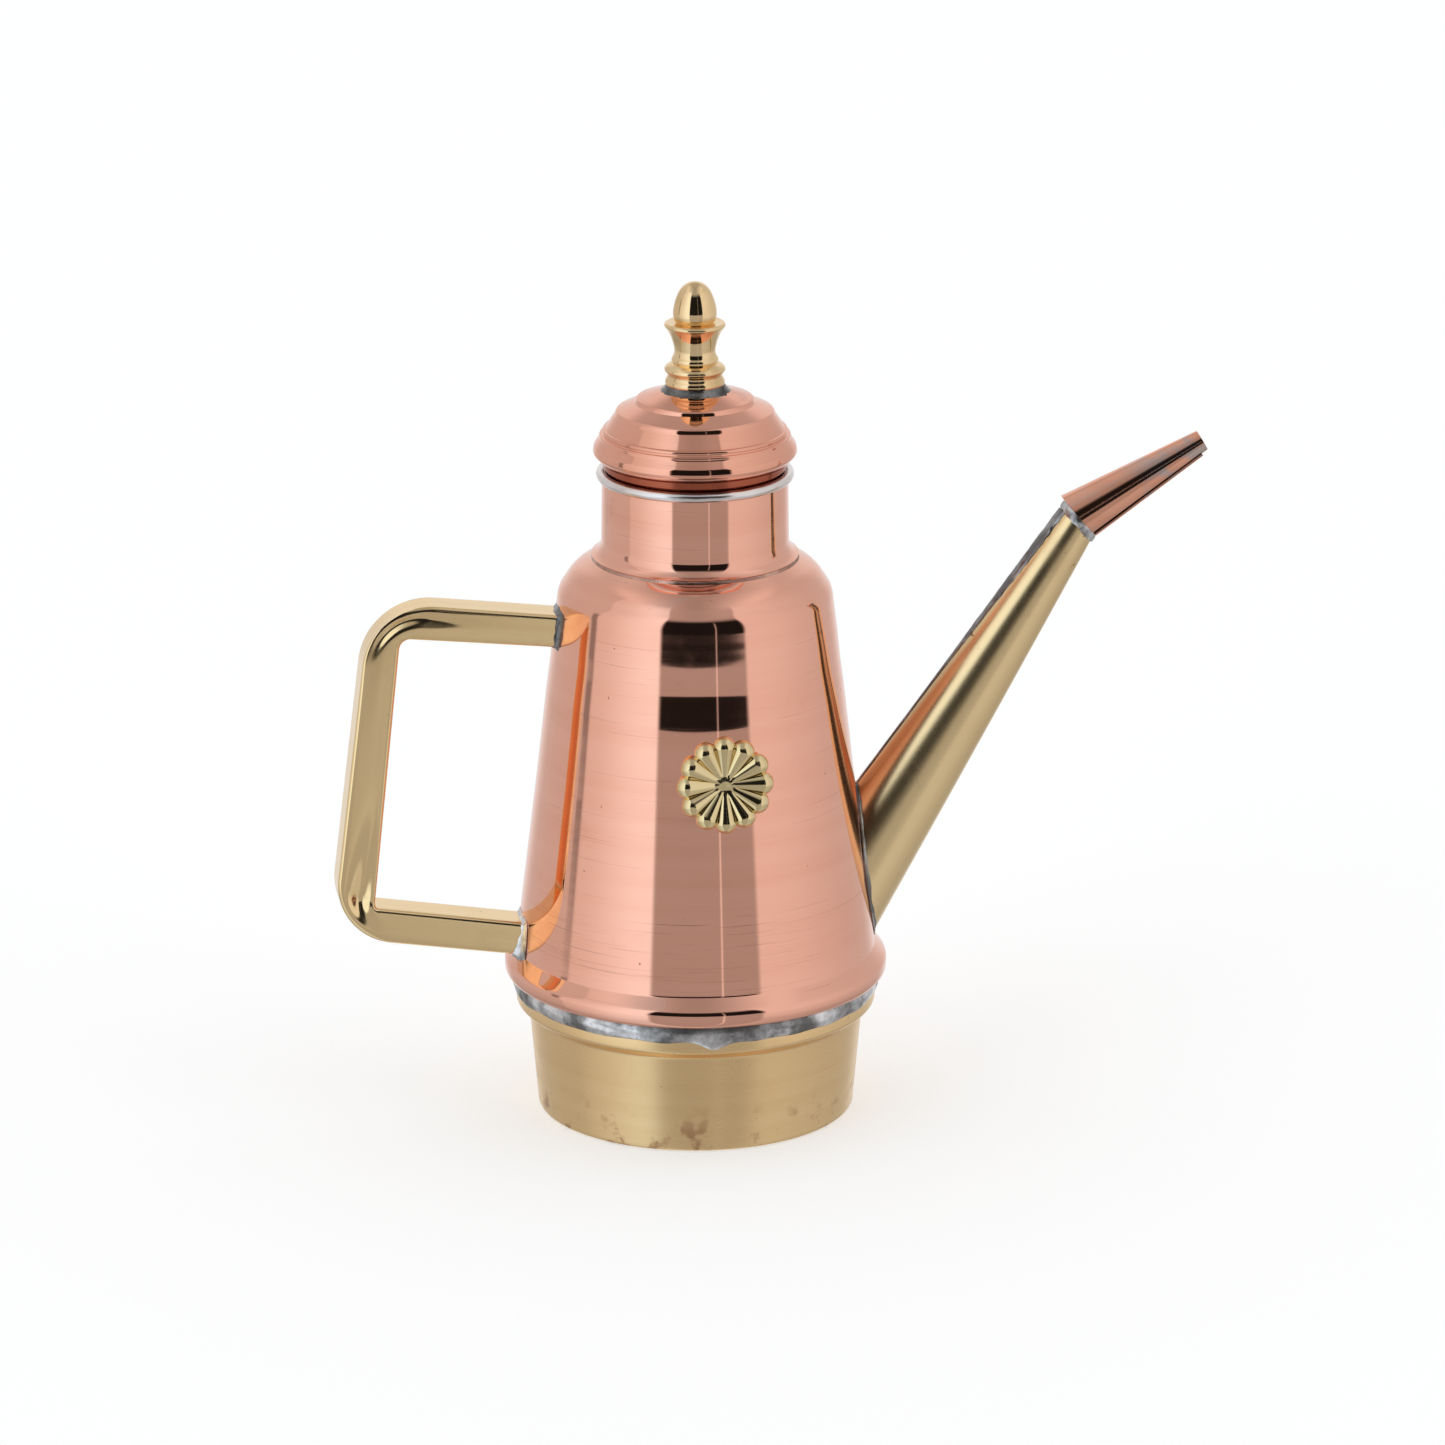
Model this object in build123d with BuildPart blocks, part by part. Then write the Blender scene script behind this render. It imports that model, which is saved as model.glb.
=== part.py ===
from build123d import *
import os
from math import cos, radians, sin

# Copper and brass oil can with a long pouring spout and a lift-off lid, in millimetres.
#
# The origin is the centre of the foot's underside. +Z is up, +X points towards the spout, and
# the pressed rosette is on the -Y side. The handle is on the -X side.

# Sheet thicknesses.
copper_wall = 0.9
brass_wall = 1.0
thin_wall = 0.8

# Foot: a spun brass cup that closes the can at the bottom.
foot_radius = 44.7
foot_waist = (47.3, 28.7)
foot_band_radius = 51.0
foot_band_low = 31.3
foot_rim_height = 44.0

# Body: a spun copper cone with a round bead at the bottom and a convex shoulder.
bead_root = 51.2
bead_low = 39.2
bead_radius = 54.4
bead_high = 46.0
bead_round = 2.4
bead_crown_round = 3.2
cone_low = (51.0, 48.6)
cone_crease = 0.3
cone_high = (38.4, 151.9)
cone_high_round = 5.0
shoulder_bend = (34.3, 158.0)
shoulder_round = 8.0
shoulder_top = (26.3, 162.74)
collar_radius = 25.4
collar_step = 0.8
collar_round = 0.5
collar_height = 167.7

# Neck: a copper tube with a flange at its foot, over the body's collar, and a tinned wire rim.
neck_flange = (29.05, 162.14)
neck_low = (26.3, 163.77)
neck_flare = 4.5
neck_high_radius = 26.0
rim_height = 185.1
rim_radius = 26.15
rim_wire_radius = 1.45
rim_bore_radius = 24.9
neck_solder_line = [(29.75, 160.75), (29.02, 161.98), (28.69, 161.42)]

# Lid: a stepped copper dome on a copper sleeve that slips into the neck.
lip_radius = 26.5
lip_height = 189.3
lid_top = 210.2
sleeve_radius = 24.3
sleeve_low = 177.5
sleeve_high = 191.0
sleeve_stop_radius = 25.6
sleeve_stop_low = 187.0
sleeve_stop_high = 189.9
spigot_radius = 2.5
spigot_low = 206.6
rib_radius = 0.4
rib_heights = (196.3, 197.7)

# Finial: turned brass, with an acorn on a flared cup.
finial_base = 210.5
finial_base_radius = 8.0
acorn_seat = (5.2, 228.3)
finial_top = 240.0
collar_solder_top = 212.0
collar_solder_edge = (11.2, 208.2)

# Rosette: pressed brass petals on the front of the cone.
petal_count = 12
rosette_radius = 13.8
petal_half_width = 3.4
petal_root = (2.0, 1.1)
petal_sink = 1.0
rosette_height = 107.4
rosette_turn = 2.0
rosette_gap = 0.15
rosette_pad_radius = 11.5
rosette_pad_depth = 2.6

# Handle: brass tube of rectangular section, with wide outer bends and crushed inner corners.
handle_width = 11.8
handle_edge = 1.2
handle_upper_end = (-30.0, 145.8)
handle_upper_corner = (-92.2, 153.1)
handle_lower_corner = (-104.2, 55.4)
handle_lower_end = (-35.0, 45.2)
handle_lower_end_top = (-35.0, 54.8)
handle_inner_lower_corner = (-92.0, 63.6)
handle_inner_upper_corner = (-83.8, 142.1)
handle_upper_end_low = (-30.0, 136.6)
handle_bends = [19.5, 17.5, 0, 0, 1.5, 3.0]
handle_solder_margin = 1.3
handle_solder_reach = 1.7

# Spout: a tapering brass tube, with a rolled copper cone mitred on its end.
spout_angle = 57.35
spout_start = (35.8, 52.25)
spout_start_size = (30.8, 26.0)
spout_end_size = (11.7, 11.6)
spout_length = 137.0
elbow = (109.1, 168.0)
elbow_angle = 41.0
elbow_lap = -0.03
tip_angle = 30.0
tip_length = 40.7
tip_back = 9.0
tip_radius = 7.1
tip_mouth_radius = 3.1
tip_lap_thickness = 0.65
tip_lap_arc = 70.0
tip_lap_short = 2.0
tip_solder_length = 2.4
tip_solder_margin = 0.6
seam_width = 3.2
seam_height = 0.7
root_solder_margin = 1.5
root_solder_reach = 1.1
root_solder_top = 110.0


def spun_outline(points, radii, wall, side):
    """The closed outline of a thin wall: a filleted line and its offset by the wall."""
    with BuildLine() as outline:
        FilletPolyline(*points, radius=radii)
        offset(amount=wall, side=side, closed=True)
    return outline.line


def cone_radius(height):
    """Radius of the body's cone at a height."""
    share = (height - cone_low[1]) / (cone_high[1] - cone_low[1])
    return cone_low[0] + share * (cone_high[0] - cone_low[0])


def handle_block(margin):
    """The handle's outline as a solid bar, grown all round by a margin."""
    with BuildPart() as block:
        with BuildSketch(Plane.XZ):
            with BuildLine():
                FilletPolyline(
                    handle_upper_end,
                    handle_upper_corner,
                    handle_lower_corner,
                    handle_lower_end,
                    handle_lower_end_top,
                    handle_inner_lower_corner,
                    handle_inner_upper_corner,
                    handle_upper_end_low,
                    radius=[0, *handle_bends, 0],
                    close=True,
                )
            make_face()
            if margin:
                offset(amount=margin)
        extrude(amount=handle_width / 2 + margin, both=True)
    return block.part


def spout_bar(margin):
    """The spout's taper as a solid bar, grown all round by a margin."""
    with BuildPart() as bar:
        with BuildSketch(spout_plane):
            Ellipse(spout_start_size[0] / 2 + margin, spout_start_size[1] / 2 + margin)
        with BuildSketch(spout_plane.offset(spout_length)):
            Ellipse(spout_end_size[0] / 2 + margin, spout_end_size[1] / 2 + margin)
        loft()
    return bar.part


def cone_skin(low, high, reach):
    """A ring of even thickness on the outside of the body's cone, between two heights."""
    with BuildPart() as skin:
        with BuildSketch(Plane.XZ):
            with BuildLine():
                Polyline(
                    (cone_radius(low) - reach, low),
                    (cone_radius(low) + reach, low),
                    (cone_radius(high) + reach, high),
                    (cone_radius(high) - reach, high),
                    close=True,
                )
            make_face()
        revolve(axis=Axis.Z)
    return skin.part


def finish(part, name):
    """Labels a piece and writes its STEP file."""
    part.label = name
    export_step(part, f"parts/{name}.step")


os.makedirs("parts", exist_ok=True)

# Planes of the spout, the tip and the rosette.
spout_plane = Plane(
    origin=(spout_start[0], 0, spout_start[1]),
    x_dir=(sin(radians(spout_angle)), 0, -cos(radians(spout_angle))),
    z_dir=(cos(radians(spout_angle)), 0, sin(radians(spout_angle))),
)
elbow_plane = Plane(
    origin=(elbow[0], 0, elbow[1]),
    x_dir=(0, 1, 0),
    z_dir=(cos(radians(elbow_angle)), 0, sin(radians(elbow_angle))),
)
tip_direction = (cos(radians(tip_angle)), 0, sin(radians(tip_angle)))
tip_plane = Plane(
    origin=(elbow[0], 0, elbow[1]), x_dir=tip_direction, z_dir=(0, -1, 0)
)
cone_tilt = (cone_low[0] - cone_high[0]) / (cone_high[1] - cone_low[1])
rosette_normal = Vector(0, -1, cone_tilt).normalized().rotate(Axis.Z, rosette_turn)
rosette_foot = Vector(0, -cone_radius(rosette_height), rosette_height)
rosette_plane = Plane(
    origin=rosette_foot.rotate(Axis.Z, rosette_turn) + rosette_normal * rosette_gap,
    x_dir=Vector(1, 0, 0).rotate(Axis.Z, rosette_turn),
    z_dir=rosette_normal,
)

# Body shell, and the same shape as a solid for trimming what is soldered to it.
body_line = [
    (bead_root, bead_low),
    (bead_radius, bead_low),
    (bead_radius, bead_high),
    cone_low,
    cone_high,
    shoulder_bend,
    shoulder_top,
    (collar_radius, shoulder_top[1] + collar_step),
    (collar_radius, collar_height),
]
body_rounds = [
    bead_round,
    bead_crown_round,
    cone_crease,
    cone_high_round,
    shoulder_round,
    0,
    collar_round,
]
with BuildPart() as body_solid:
    with BuildSketch(Plane.XZ):
        with BuildLine():
            outer_line = FilletPolyline(*body_line, radius=body_rounds)
            Polyline(outer_line @ 1, (0, collar_height), (0, bead_low), outer_line @ 0)
        make_face()
    revolve(axis=Axis.Z)

with BuildPart() as body_shell:
    with BuildSketch(Plane.XZ):
        add(spun_outline(body_line, body_rounds, copper_wall, Side.LEFT))
        make_face()
    revolve(axis=Axis.Z)
    add(spout_bar(-brass_wall), mode=Mode.SUBTRACT)
finish(body_shell.part, "body_shell")

# Foot cup.
with BuildPart() as foot_cup:
    with BuildSketch(Plane.XZ):
        foot_line = [
            (0, 0),
            (foot_radius, 0),
            foot_waist,
            (foot_band_radius - 0.1, foot_band_low),
            (foot_band_radius, foot_rim_height),
        ]
        add(spun_outline(foot_line, [1.3, 1.4, 1.6], brass_wall, Side.LEFT))
        make_face()
    revolve(axis=Axis.Z)
finish(foot_cup.part, "foot_cup")

# Solder run round the joint between the foot's band and the bead.
with BuildPart() as foot_solder:
    with BuildSketch(Plane.XZ):
        with BuildLine():
            Polyline(
                (foot_band_radius + 0.02, foot_band_low + 1.4),
                (foot_band_radius + 0.8, foot_band_low + 2.6),
                (foot_band_radius + 1.3, bead_low - 0.05),
                (foot_band_radius + 0.02, bead_low - 0.05),
                close=True,
            )
        make_face()
    revolve(axis=Axis.Z)
finish(foot_solder.part, "foot_solder")

# Neck tube, its solder fillet on the shoulder, and the tinned rim wire.
with BuildPart() as neck:
    with BuildSketch(Plane.XZ):
        neck_line = [neck_flange, neck_low, (neck_high_radius, rim_height)]
        add(spun_outline(neck_line, neck_flare, thin_wall, Side.LEFT))
        make_face()
    revolve(axis=Axis.Z)
finish(neck.part, "neck")

with BuildPart() as neck_solder:
    with BuildSketch(Plane.XZ):
        with BuildLine():
            Polyline(*neck_solder_line, close=True)
        make_face()
    revolve(axis=Axis.Z)
finish(neck_solder.part, "neck_solder")

with BuildPart() as neck_rim:
    with BuildSketch(Plane.XZ):
        with Locations((rim_radius, rim_height)):
            Circle(rim_wire_radius)
        with Locations((rim_bore_radius / 2, rim_height)):
            Rectangle(rim_bore_radius, 4 * rim_wire_radius, mode=Mode.SUBTRACT)
    revolve(axis=Axis.Z)
    add(neck.part, mode=Mode.SUBTRACT)
finish(neck_rim.part, "neck_rim")

# Lid dome: three stepped tiers over a rolled lip, with a pair of fine ribs.
lid_line = [
    (lip_radius, lip_height),
    (28.6, 191.5),
    (28.2, 193.4),
    (22.5, 202.1),
    (21.95, 203.4),
    (16.85, 205.7),
    (16.3, 206.9),
    (8.0, 209.5),
    (spigot_radius + 0.1, lid_top),
]
lid_rounds = [1.4, 1.5, 0, 1.2, 0, 1.0, 4.0]
with BuildPart() as lid_dome:
    with BuildSketch(Plane.XZ):
        add(spun_outline(lid_line, lid_rounds, thin_wall, Side.LEFT))
        make_face()
    revolve(axis=Axis.Z)
    with BuildSketch(Plane.XZ):
        for height in rib_heights:
            share = (height - lid_line[2][1]) / (lid_line[3][1] - lid_line[2][1])
            rib_place = lid_line[2][0] + share * (lid_line[3][0] - lid_line[2][0])
            with Locations((rib_place, height)):
                Circle(rib_radius)
    revolve(axis=Axis.Z)
finish(lid_dome.part, "lid_dome")

# Lid sleeve, with a stop ring that rests over the rim, and its solder inside the lip.
with BuildPart() as lid_sleeve:
    with BuildSketch(Plane.XZ):
        with BuildLine():
            Polyline(
                (sleeve_radius - thin_wall, sleeve_low),
                (sleeve_radius, sleeve_low),
                (sleeve_radius, sleeve_stop_low),
                (sleeve_stop_radius, sleeve_stop_low),
                (sleeve_stop_radius, sleeve_stop_high),
                (sleeve_radius, sleeve_stop_high),
                (sleeve_radius, sleeve_high),
                (sleeve_radius - thin_wall, sleeve_high),
                close=True,
            )
        make_face()
    revolve(axis=Axis.Z)
finish(lid_sleeve.part, "lid_sleeve")

with BuildPart() as lid_sleeve_solder:
    with BuildSketch(Plane.XZ):
        with BuildLine():
            Polyline(
                (sleeve_radius + 0.02, sleeve_stop_high + 0.05),
                (lip_radius + 0.2, sleeve_stop_high + 0.05),
                (lip_radius + 0.6, sleeve_stop_high + 0.7),
                (sleeve_radius + 0.02, sleeve_high),
                close=True,
            )
        make_face()
    revolve(axis=Axis.Z)
    add(lid_dome.part, mode=Mode.SUBTRACT)
finish(lid_sleeve_solder.part, "lid_sleeve_solder")

# Finial, turned from one brass bar: a chain of beads and grooves, then the acorn.
finial_turning = [
    ((8.36, 211.5), (8.0, 212.5)),
    ((7.7, 213.3), (7.9, 214.2)),
    ((8.4, 215.6), (6.3, 217.1)),
    ((6.55, 218.0), (6.1, 218.9)),
    ((5.75, 220.2), (5.9, 221.6)),
    ((6.8, 224.6), (8.3, 227.2)),
    ((8.55, 227.9), (7.9, 228.5)),
    ((6.5, 228.5), acorn_seat),
]
with BuildPart() as finial:
    with BuildSketch(Plane.XZ):
        with BuildLine():
            Polyline(
                (0, finial_top),
                (0, spigot_low),
                (spigot_radius, spigot_low),
                (spigot_radius, finial_base),
                (finial_base_radius, finial_base),
            )
            turning_start = (finial_base_radius, finial_base)
            for turning_middle, turning_end in finial_turning:
                ThreePointArc(turning_start, turning_middle, turning_end)
                turning_start = turning_end
            Spline(
                acorn_seat,
                (6.1, 230.5),
                (5.5, 234.6),
                (3.4, 238.6),
                (0, finial_top),
                tangents=((0.6, 1), (-1, 0)),
            )
        make_face()
    revolve(axis=Axis.Z)
finish(finial.part, "finial")

with BuildPart() as finial_solder:
    with BuildSketch(Plane.XZ):
        with BuildLine():
            Polyline(
                (spigot_radius + 0.05, finial_base - 0.02),
                (finial_base_radius, finial_base - 0.02),
                (finial_base_radius + 0.6, collar_solder_top),
                (finial_base_radius + 1.3, collar_solder_top - 0.6),
                collar_solder_edge,
                (collar_solder_edge[0] - 1.7, collar_solder_edge[1] - 0.2),
                (spigot_radius + 0.05, collar_solder_edge[1] + 1.3),
                close=True,
            )
        make_face()
    revolve(axis=Axis.Z)
    add(lid_dome.part, mode=Mode.SUBTRACT)
    add(finial.part, mode=Mode.SUBTRACT)
finish(finial_solder.part.solids().sort_by(SortBy.VOLUME)[-1], "finial_solder")

# Rosette: one petal swept round the centre, and the solder pad behind it.
petal_axis_height = rosette_radius - petal_half_width
with BuildPart() as petal:
    with BuildSketch(Plane.XZ):
        with BuildLine():
            Polyline(
                (petal_axis_height, petal_half_width),
                petal_root,
                (0, petal_root[1]),
                (0, 0),
                (rosette_radius, 0),
            )
            RadiusArc(
                (petal_axis_height, petal_half_width), (rosette_radius, 0), petal_half_width
            )
        make_face()
    revolve(axis=Axis.X)
with BuildPart() as rosette:
    with Locations(rosette_plane):
        with Locations((0, 0, -petal_sink)):
            with PolarLocations(0, petal_count):
                add(petal.part)
            Cylinder(rosette_radius - petal_half_width, 2 * petal_sink + 1.6)
    split(bisect_by=rosette_plane, keep=Keep.TOP)
finish(rosette.part, "rosette")

with BuildPart() as rosette_solder:
    with BuildSketch(rosette_plane.offset(-0.02)):
        Circle(rosette_pad_radius)
    extrude(amount=-rosette_pad_depth)
    add(body_solid.part, mode=Mode.SUBTRACT)
finish(rosette_solder.part, "rosette_solder")

# Handle tube, cut to the cone at both ends, and its two solder joints.
with BuildPart() as handle:
    add(handle_block(0))
    fillet(handle.faces().filter_by(Axis.Y).edges(), handle_edge)
    add(handle_block(-brass_wall), mode=Mode.SUBTRACT)
    add(body_solid.part, mode=Mode.SUBTRACT)
finish(handle.part, "handle")

handle_joints = {"handle_upper_solder": (130.0, 151.0), "handle_lower_solder": (47.5, 63.0)}
for joint_name, (joint_low, joint_high) in handle_joints.items():
    with BuildPart() as handle_joint:
        add(handle_block(handle_solder_margin))
        add(cone_skin(joint_low, joint_high, handle_solder_reach), mode=Mode.INTERSECT)
        add(handle_block(0), mode=Mode.SUBTRACT)
        add(body_solid.part, mode=Mode.SUBTRACT)
        split(bisect_by=Plane.YZ, keep=Keep.BOTTOM)
    finish(handle_joint.part, joint_name)

# Spout tube, cut to the cone at the root and to the elbow's mitre at the end.
with BuildPart() as spout_tube:
    add(spout_bar(0))
    add(spout_bar(-brass_wall), mode=Mode.SUBTRACT)
    add(body_solid.part, mode=Mode.SUBTRACT)
    split(bisect_by=elbow_plane.offset(elbow_lap), keep=Keep.BOTTOM)
finish(spout_tube.part, "spout_tube")

with BuildPart() as spout_root_solder:
    add(spout_bar(root_solder_margin))
    add(cone_skin(bead_high, root_solder_top, root_solder_reach), mode=Mode.INTERSECT)
    add(spout_bar(0), mode=Mode.SUBTRACT)
    add(body_solid.part, mode=Mode.SUBTRACT)
    split(bisect_by=Plane.YZ, keep=Keep.TOP)
finish(spout_root_solder.part, "spout_root_solder")

# Solder along the seam on the spout's upper side.
with BuildPart() as spout_seam_solder:
    with BuildSketch(spout_plane):
        with Locations((-spout_start_size[0] / 2, 0)):
            Rectangle(2 * seam_height, seam_width)
    with BuildSketch(spout_plane.offset(spout_length)):
        with Locations((-spout_end_size[0] / 2, 0)):
            Rectangle(2 * seam_height, seam_width)
    loft()
    add(spout_bar(0), mode=Mode.SUBTRACT)
    add(body_solid.part, mode=Mode.SUBTRACT)
    add(spout_root_solder.part, mode=Mode.SUBTRACT)
    split(bisect_by=elbow_plane.offset(-tip_solder_length - 0.1), keep=Keep.BOTTOM)
finish(spout_seam_solder.part, "spout_seam_solder")

# Rolled copper tip, with its lap along the underside.
with BuildPart() as spout_tip:
    tip_back_radius = tip_radius + tip_back * (tip_radius - tip_mouth_radius) / tip_length
    tip_axis = Axis((elbow[0], 0, elbow[1]), tip_direction)
    with BuildSketch(tip_plane):
        with BuildLine():
            Polyline(
                (-tip_back, tip_back_radius),
                (tip_length, tip_mouth_radius),
                (tip_length, tip_mouth_radius - thin_wall),
                (-tip_back, tip_back_radius - thin_wall),
                close=True,
            )
        make_face()
    revolve(axis=tip_axis)
    with BuildSketch(tip_plane):
        with BuildLine():
            Polyline(
                (-tip_back, -tip_back_radius - tip_lap_thickness),
                (tip_length - tip_lap_short, -tip_mouth_radius - tip_lap_thickness),
                (tip_length - tip_lap_short, -tip_mouth_radius + 0.3),
                (-tip_back, -tip_back_radius + 0.3),
                close=True,
            )
        make_face()
    revolve(axis=tip_axis, revolution_arc=tip_lap_arc)
    split(bisect_by=elbow_plane, keep=Keep.TOP)
finish(spout_tip.part, "spout_tip")

# Solder where the brass tube enters the copper tip.
with BuildPart() as spout_tip_solder:
    add(spout_bar(tip_solder_margin))
    add(spout_bar(0), mode=Mode.SUBTRACT)
    split(bisect_by=elbow_plane.offset(-0.05), keep=Keep.BOTTOM)
    split(bisect_by=elbow_plane.offset(-tip_solder_length), keep=Keep.TOP)
finish(spout_tip_solder.part, "spout_tip_solder")
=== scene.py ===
from math import acos, cos, degrees, pi, radians, sin, sqrt, tan

import bpy
import numpy as np
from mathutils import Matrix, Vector


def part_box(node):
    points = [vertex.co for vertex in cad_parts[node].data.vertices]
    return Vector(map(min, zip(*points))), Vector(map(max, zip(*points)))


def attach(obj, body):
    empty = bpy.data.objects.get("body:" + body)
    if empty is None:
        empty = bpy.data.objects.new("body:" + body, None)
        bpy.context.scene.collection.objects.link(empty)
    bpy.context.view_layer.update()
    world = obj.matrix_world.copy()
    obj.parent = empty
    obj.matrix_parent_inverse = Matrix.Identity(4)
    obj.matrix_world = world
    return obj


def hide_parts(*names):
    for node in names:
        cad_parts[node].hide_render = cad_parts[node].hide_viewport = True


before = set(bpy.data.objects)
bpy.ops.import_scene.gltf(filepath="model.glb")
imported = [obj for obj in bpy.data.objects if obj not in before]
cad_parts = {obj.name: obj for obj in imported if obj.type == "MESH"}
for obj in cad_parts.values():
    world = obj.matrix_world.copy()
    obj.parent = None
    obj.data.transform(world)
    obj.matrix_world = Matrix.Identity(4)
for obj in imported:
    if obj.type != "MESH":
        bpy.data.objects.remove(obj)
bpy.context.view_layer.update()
mm = 0.001  # shapes are worked out in millimetres
chance = np.random.default_rng(11)


def cornerOf(node, which):
    # lowest (0) or highest (1) corner of a node of the frame, in millimetres
    return np.array(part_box(node)[which]) / mm


def divided(path, gap):
    # every run of the path cut into equal steps no longer than the gap
    lengths = np.linalg.norm(np.diff(path, axis=0), axis=1)
    counts = np.maximum(np.ceil(lengths / gap).astype(int), 1)
    within = np.arange(counts.sum()) - np.repeat(np.cumsum(counts) - counts, counts)
    share = (within / np.repeat(counts, counts))[:, None]
    starts = np.repeat(path[:-1], counts, axis=0)
    return np.vstack([starts + share * np.repeat(np.diff(path, axis=0), counts, axis=0), path[-1:]])


def roundedLine(corners, rounds, gap=0.8, arcSteps=8):
    # straight runs between the corners, each inner corner swapped for the arc of its radius
    # that touches both runs: centre + radius * (cos, sin) swept through the turn
    corners = np.array(corners, float)
    path = [corners[:1]]
    for before, here, after, radius in zip(corners, corners[1:], corners[2:], rounds):
        goingIn = (here - before) / np.linalg.norm(here - before)
        goingOut = (after - here) / np.linalg.norm(after - here)
        turn = np.arctan2(goingIn[0] * goingOut[1] - goingIn[1] * goingOut[0], goingIn @ goingOut)
        if radius <= 0:
            path.append(here[None])
            continue
        side = np.array([-goingIn[1], goingIn[0]]) * np.sign(turn)
        start = here - goingIn * radius * tan(abs(turn) / 2)
        sweep = np.linspace(0, abs(turn), arcSteps + 1)[:, None]
        path.append(start + side * radius * (1 - np.cos(sweep)) + goingIn * radius * np.sin(sweep))
    path.append(corners[-1:])
    return divided(np.vstack(path), gap)


def movedIn(corners, rounds, wall):
    # each run moved to its left by the wall and crossed with its neighbours again;
    # arcs bending towards the wall shrink by it and the others grow
    corners = np.array(corners, float)
    along = np.diff(corners, axis=0)
    along /= np.linalg.norm(along, axis=1)[:, None]
    left = np.stack([-along[:, 1], along[:, 0]], 1)
    shared = (left[:-1] + left[1:]) / (1 + (left[:-1] * left[1:]).sum(1))[:, None]
    moved = corners + wall * np.vstack([left[:1], shared, left[-1:]])
    bends = along[:-1, 0] * along[1:, 1] - along[:-1, 1] * along[1:, 0]
    rounds = np.array(rounds, float)
    return moved, np.where(rounds > 0, np.maximum(rounds - np.sign(bends) * wall, 0.05), 0)


def sheetOutline(corners, rounds, wall, gap=0.8):
    # closed outline of a sheet: its outer line up and its inner line back down
    inner, innerRounds = movedIn(corners, rounds, wall)
    return np.vstack([roundedLine(corners, rounds, gap), roundedLine(inner, innerRounds, gap)[::-1]])


def fullTurn(steps):
    return np.arange(steps) * 2 * pi / steps


def aroundAxis(radius, turn, height):
    # x = radius * cos(turn), y = radius * sin(turn), z = height
    return np.stack(np.broadcast_arrays(radius * np.cos(turn), radius * np.sin(turn), height), -1)


def spun(outline, steps=288):
    # the outline carried once round the axis
    return aroundAxis(outline[:, :1], fullTurn(steps), outline[:, 1:])


def bell(value):
    # 1 at zero, falling away to both sides: e to the power of minus the square
    return np.exp(-(value**2))


def lobe(turn, centre, width):
    # a bell round one direction, in degrees
    away = (turn - radians(centre) + pi) % (2 * pi) - pi
    return bell(away / radians(width))


def lobed(turn, size, *lobes):
    # an even size with lobes on it, each given as its size, direction and width
    return size + sum(high * lobe(turn, centre, width) for high, centre, width in lobes)


def waves(turn, counts, size):
    # mean of sines with whole numbers of waves round the circle and random phases
    phases = chance.uniform(0, 2 * pi, len(counts))
    return size * np.sin(np.multiply.outer(turn, np.array(counts)) + phases).mean(-1)


def lumps(across, around, size, count=14, fine=9):
    # mean of slanted sines: any pitch across, whole numbers of waves around
    pitches = chance.uniform(-fine, fine, count)
    turns = chance.integers(-3 * fine, 3 * fine + 1, count)
    phases = chance.uniform(0, 2 * pi, count)
    slants = np.multiply.outer(across, pitches) + np.multiply.outer(around, turns) + phases
    return size * np.sin(slants).mean(-1) * 2


def ringRipple(height, size, count=9):
    # the tool's fine rings on spun metal: sines along the height, shorter ones shallower
    pitches = chance.uniform(2.2, 12.0, count)
    phases = chance.uniform(0, 2 * pi, count)
    return size * (np.sin(np.multiply.outer(height, 2 * pi / pitches) + phases) * pitches).mean(-1) / 7


def gridQuads(index):
    return np.stack([index[:-1, :-1], index[1:, :-1], index[1:, 1:], index[:-1, 1:]], -1).reshape(-1, 4)


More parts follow.
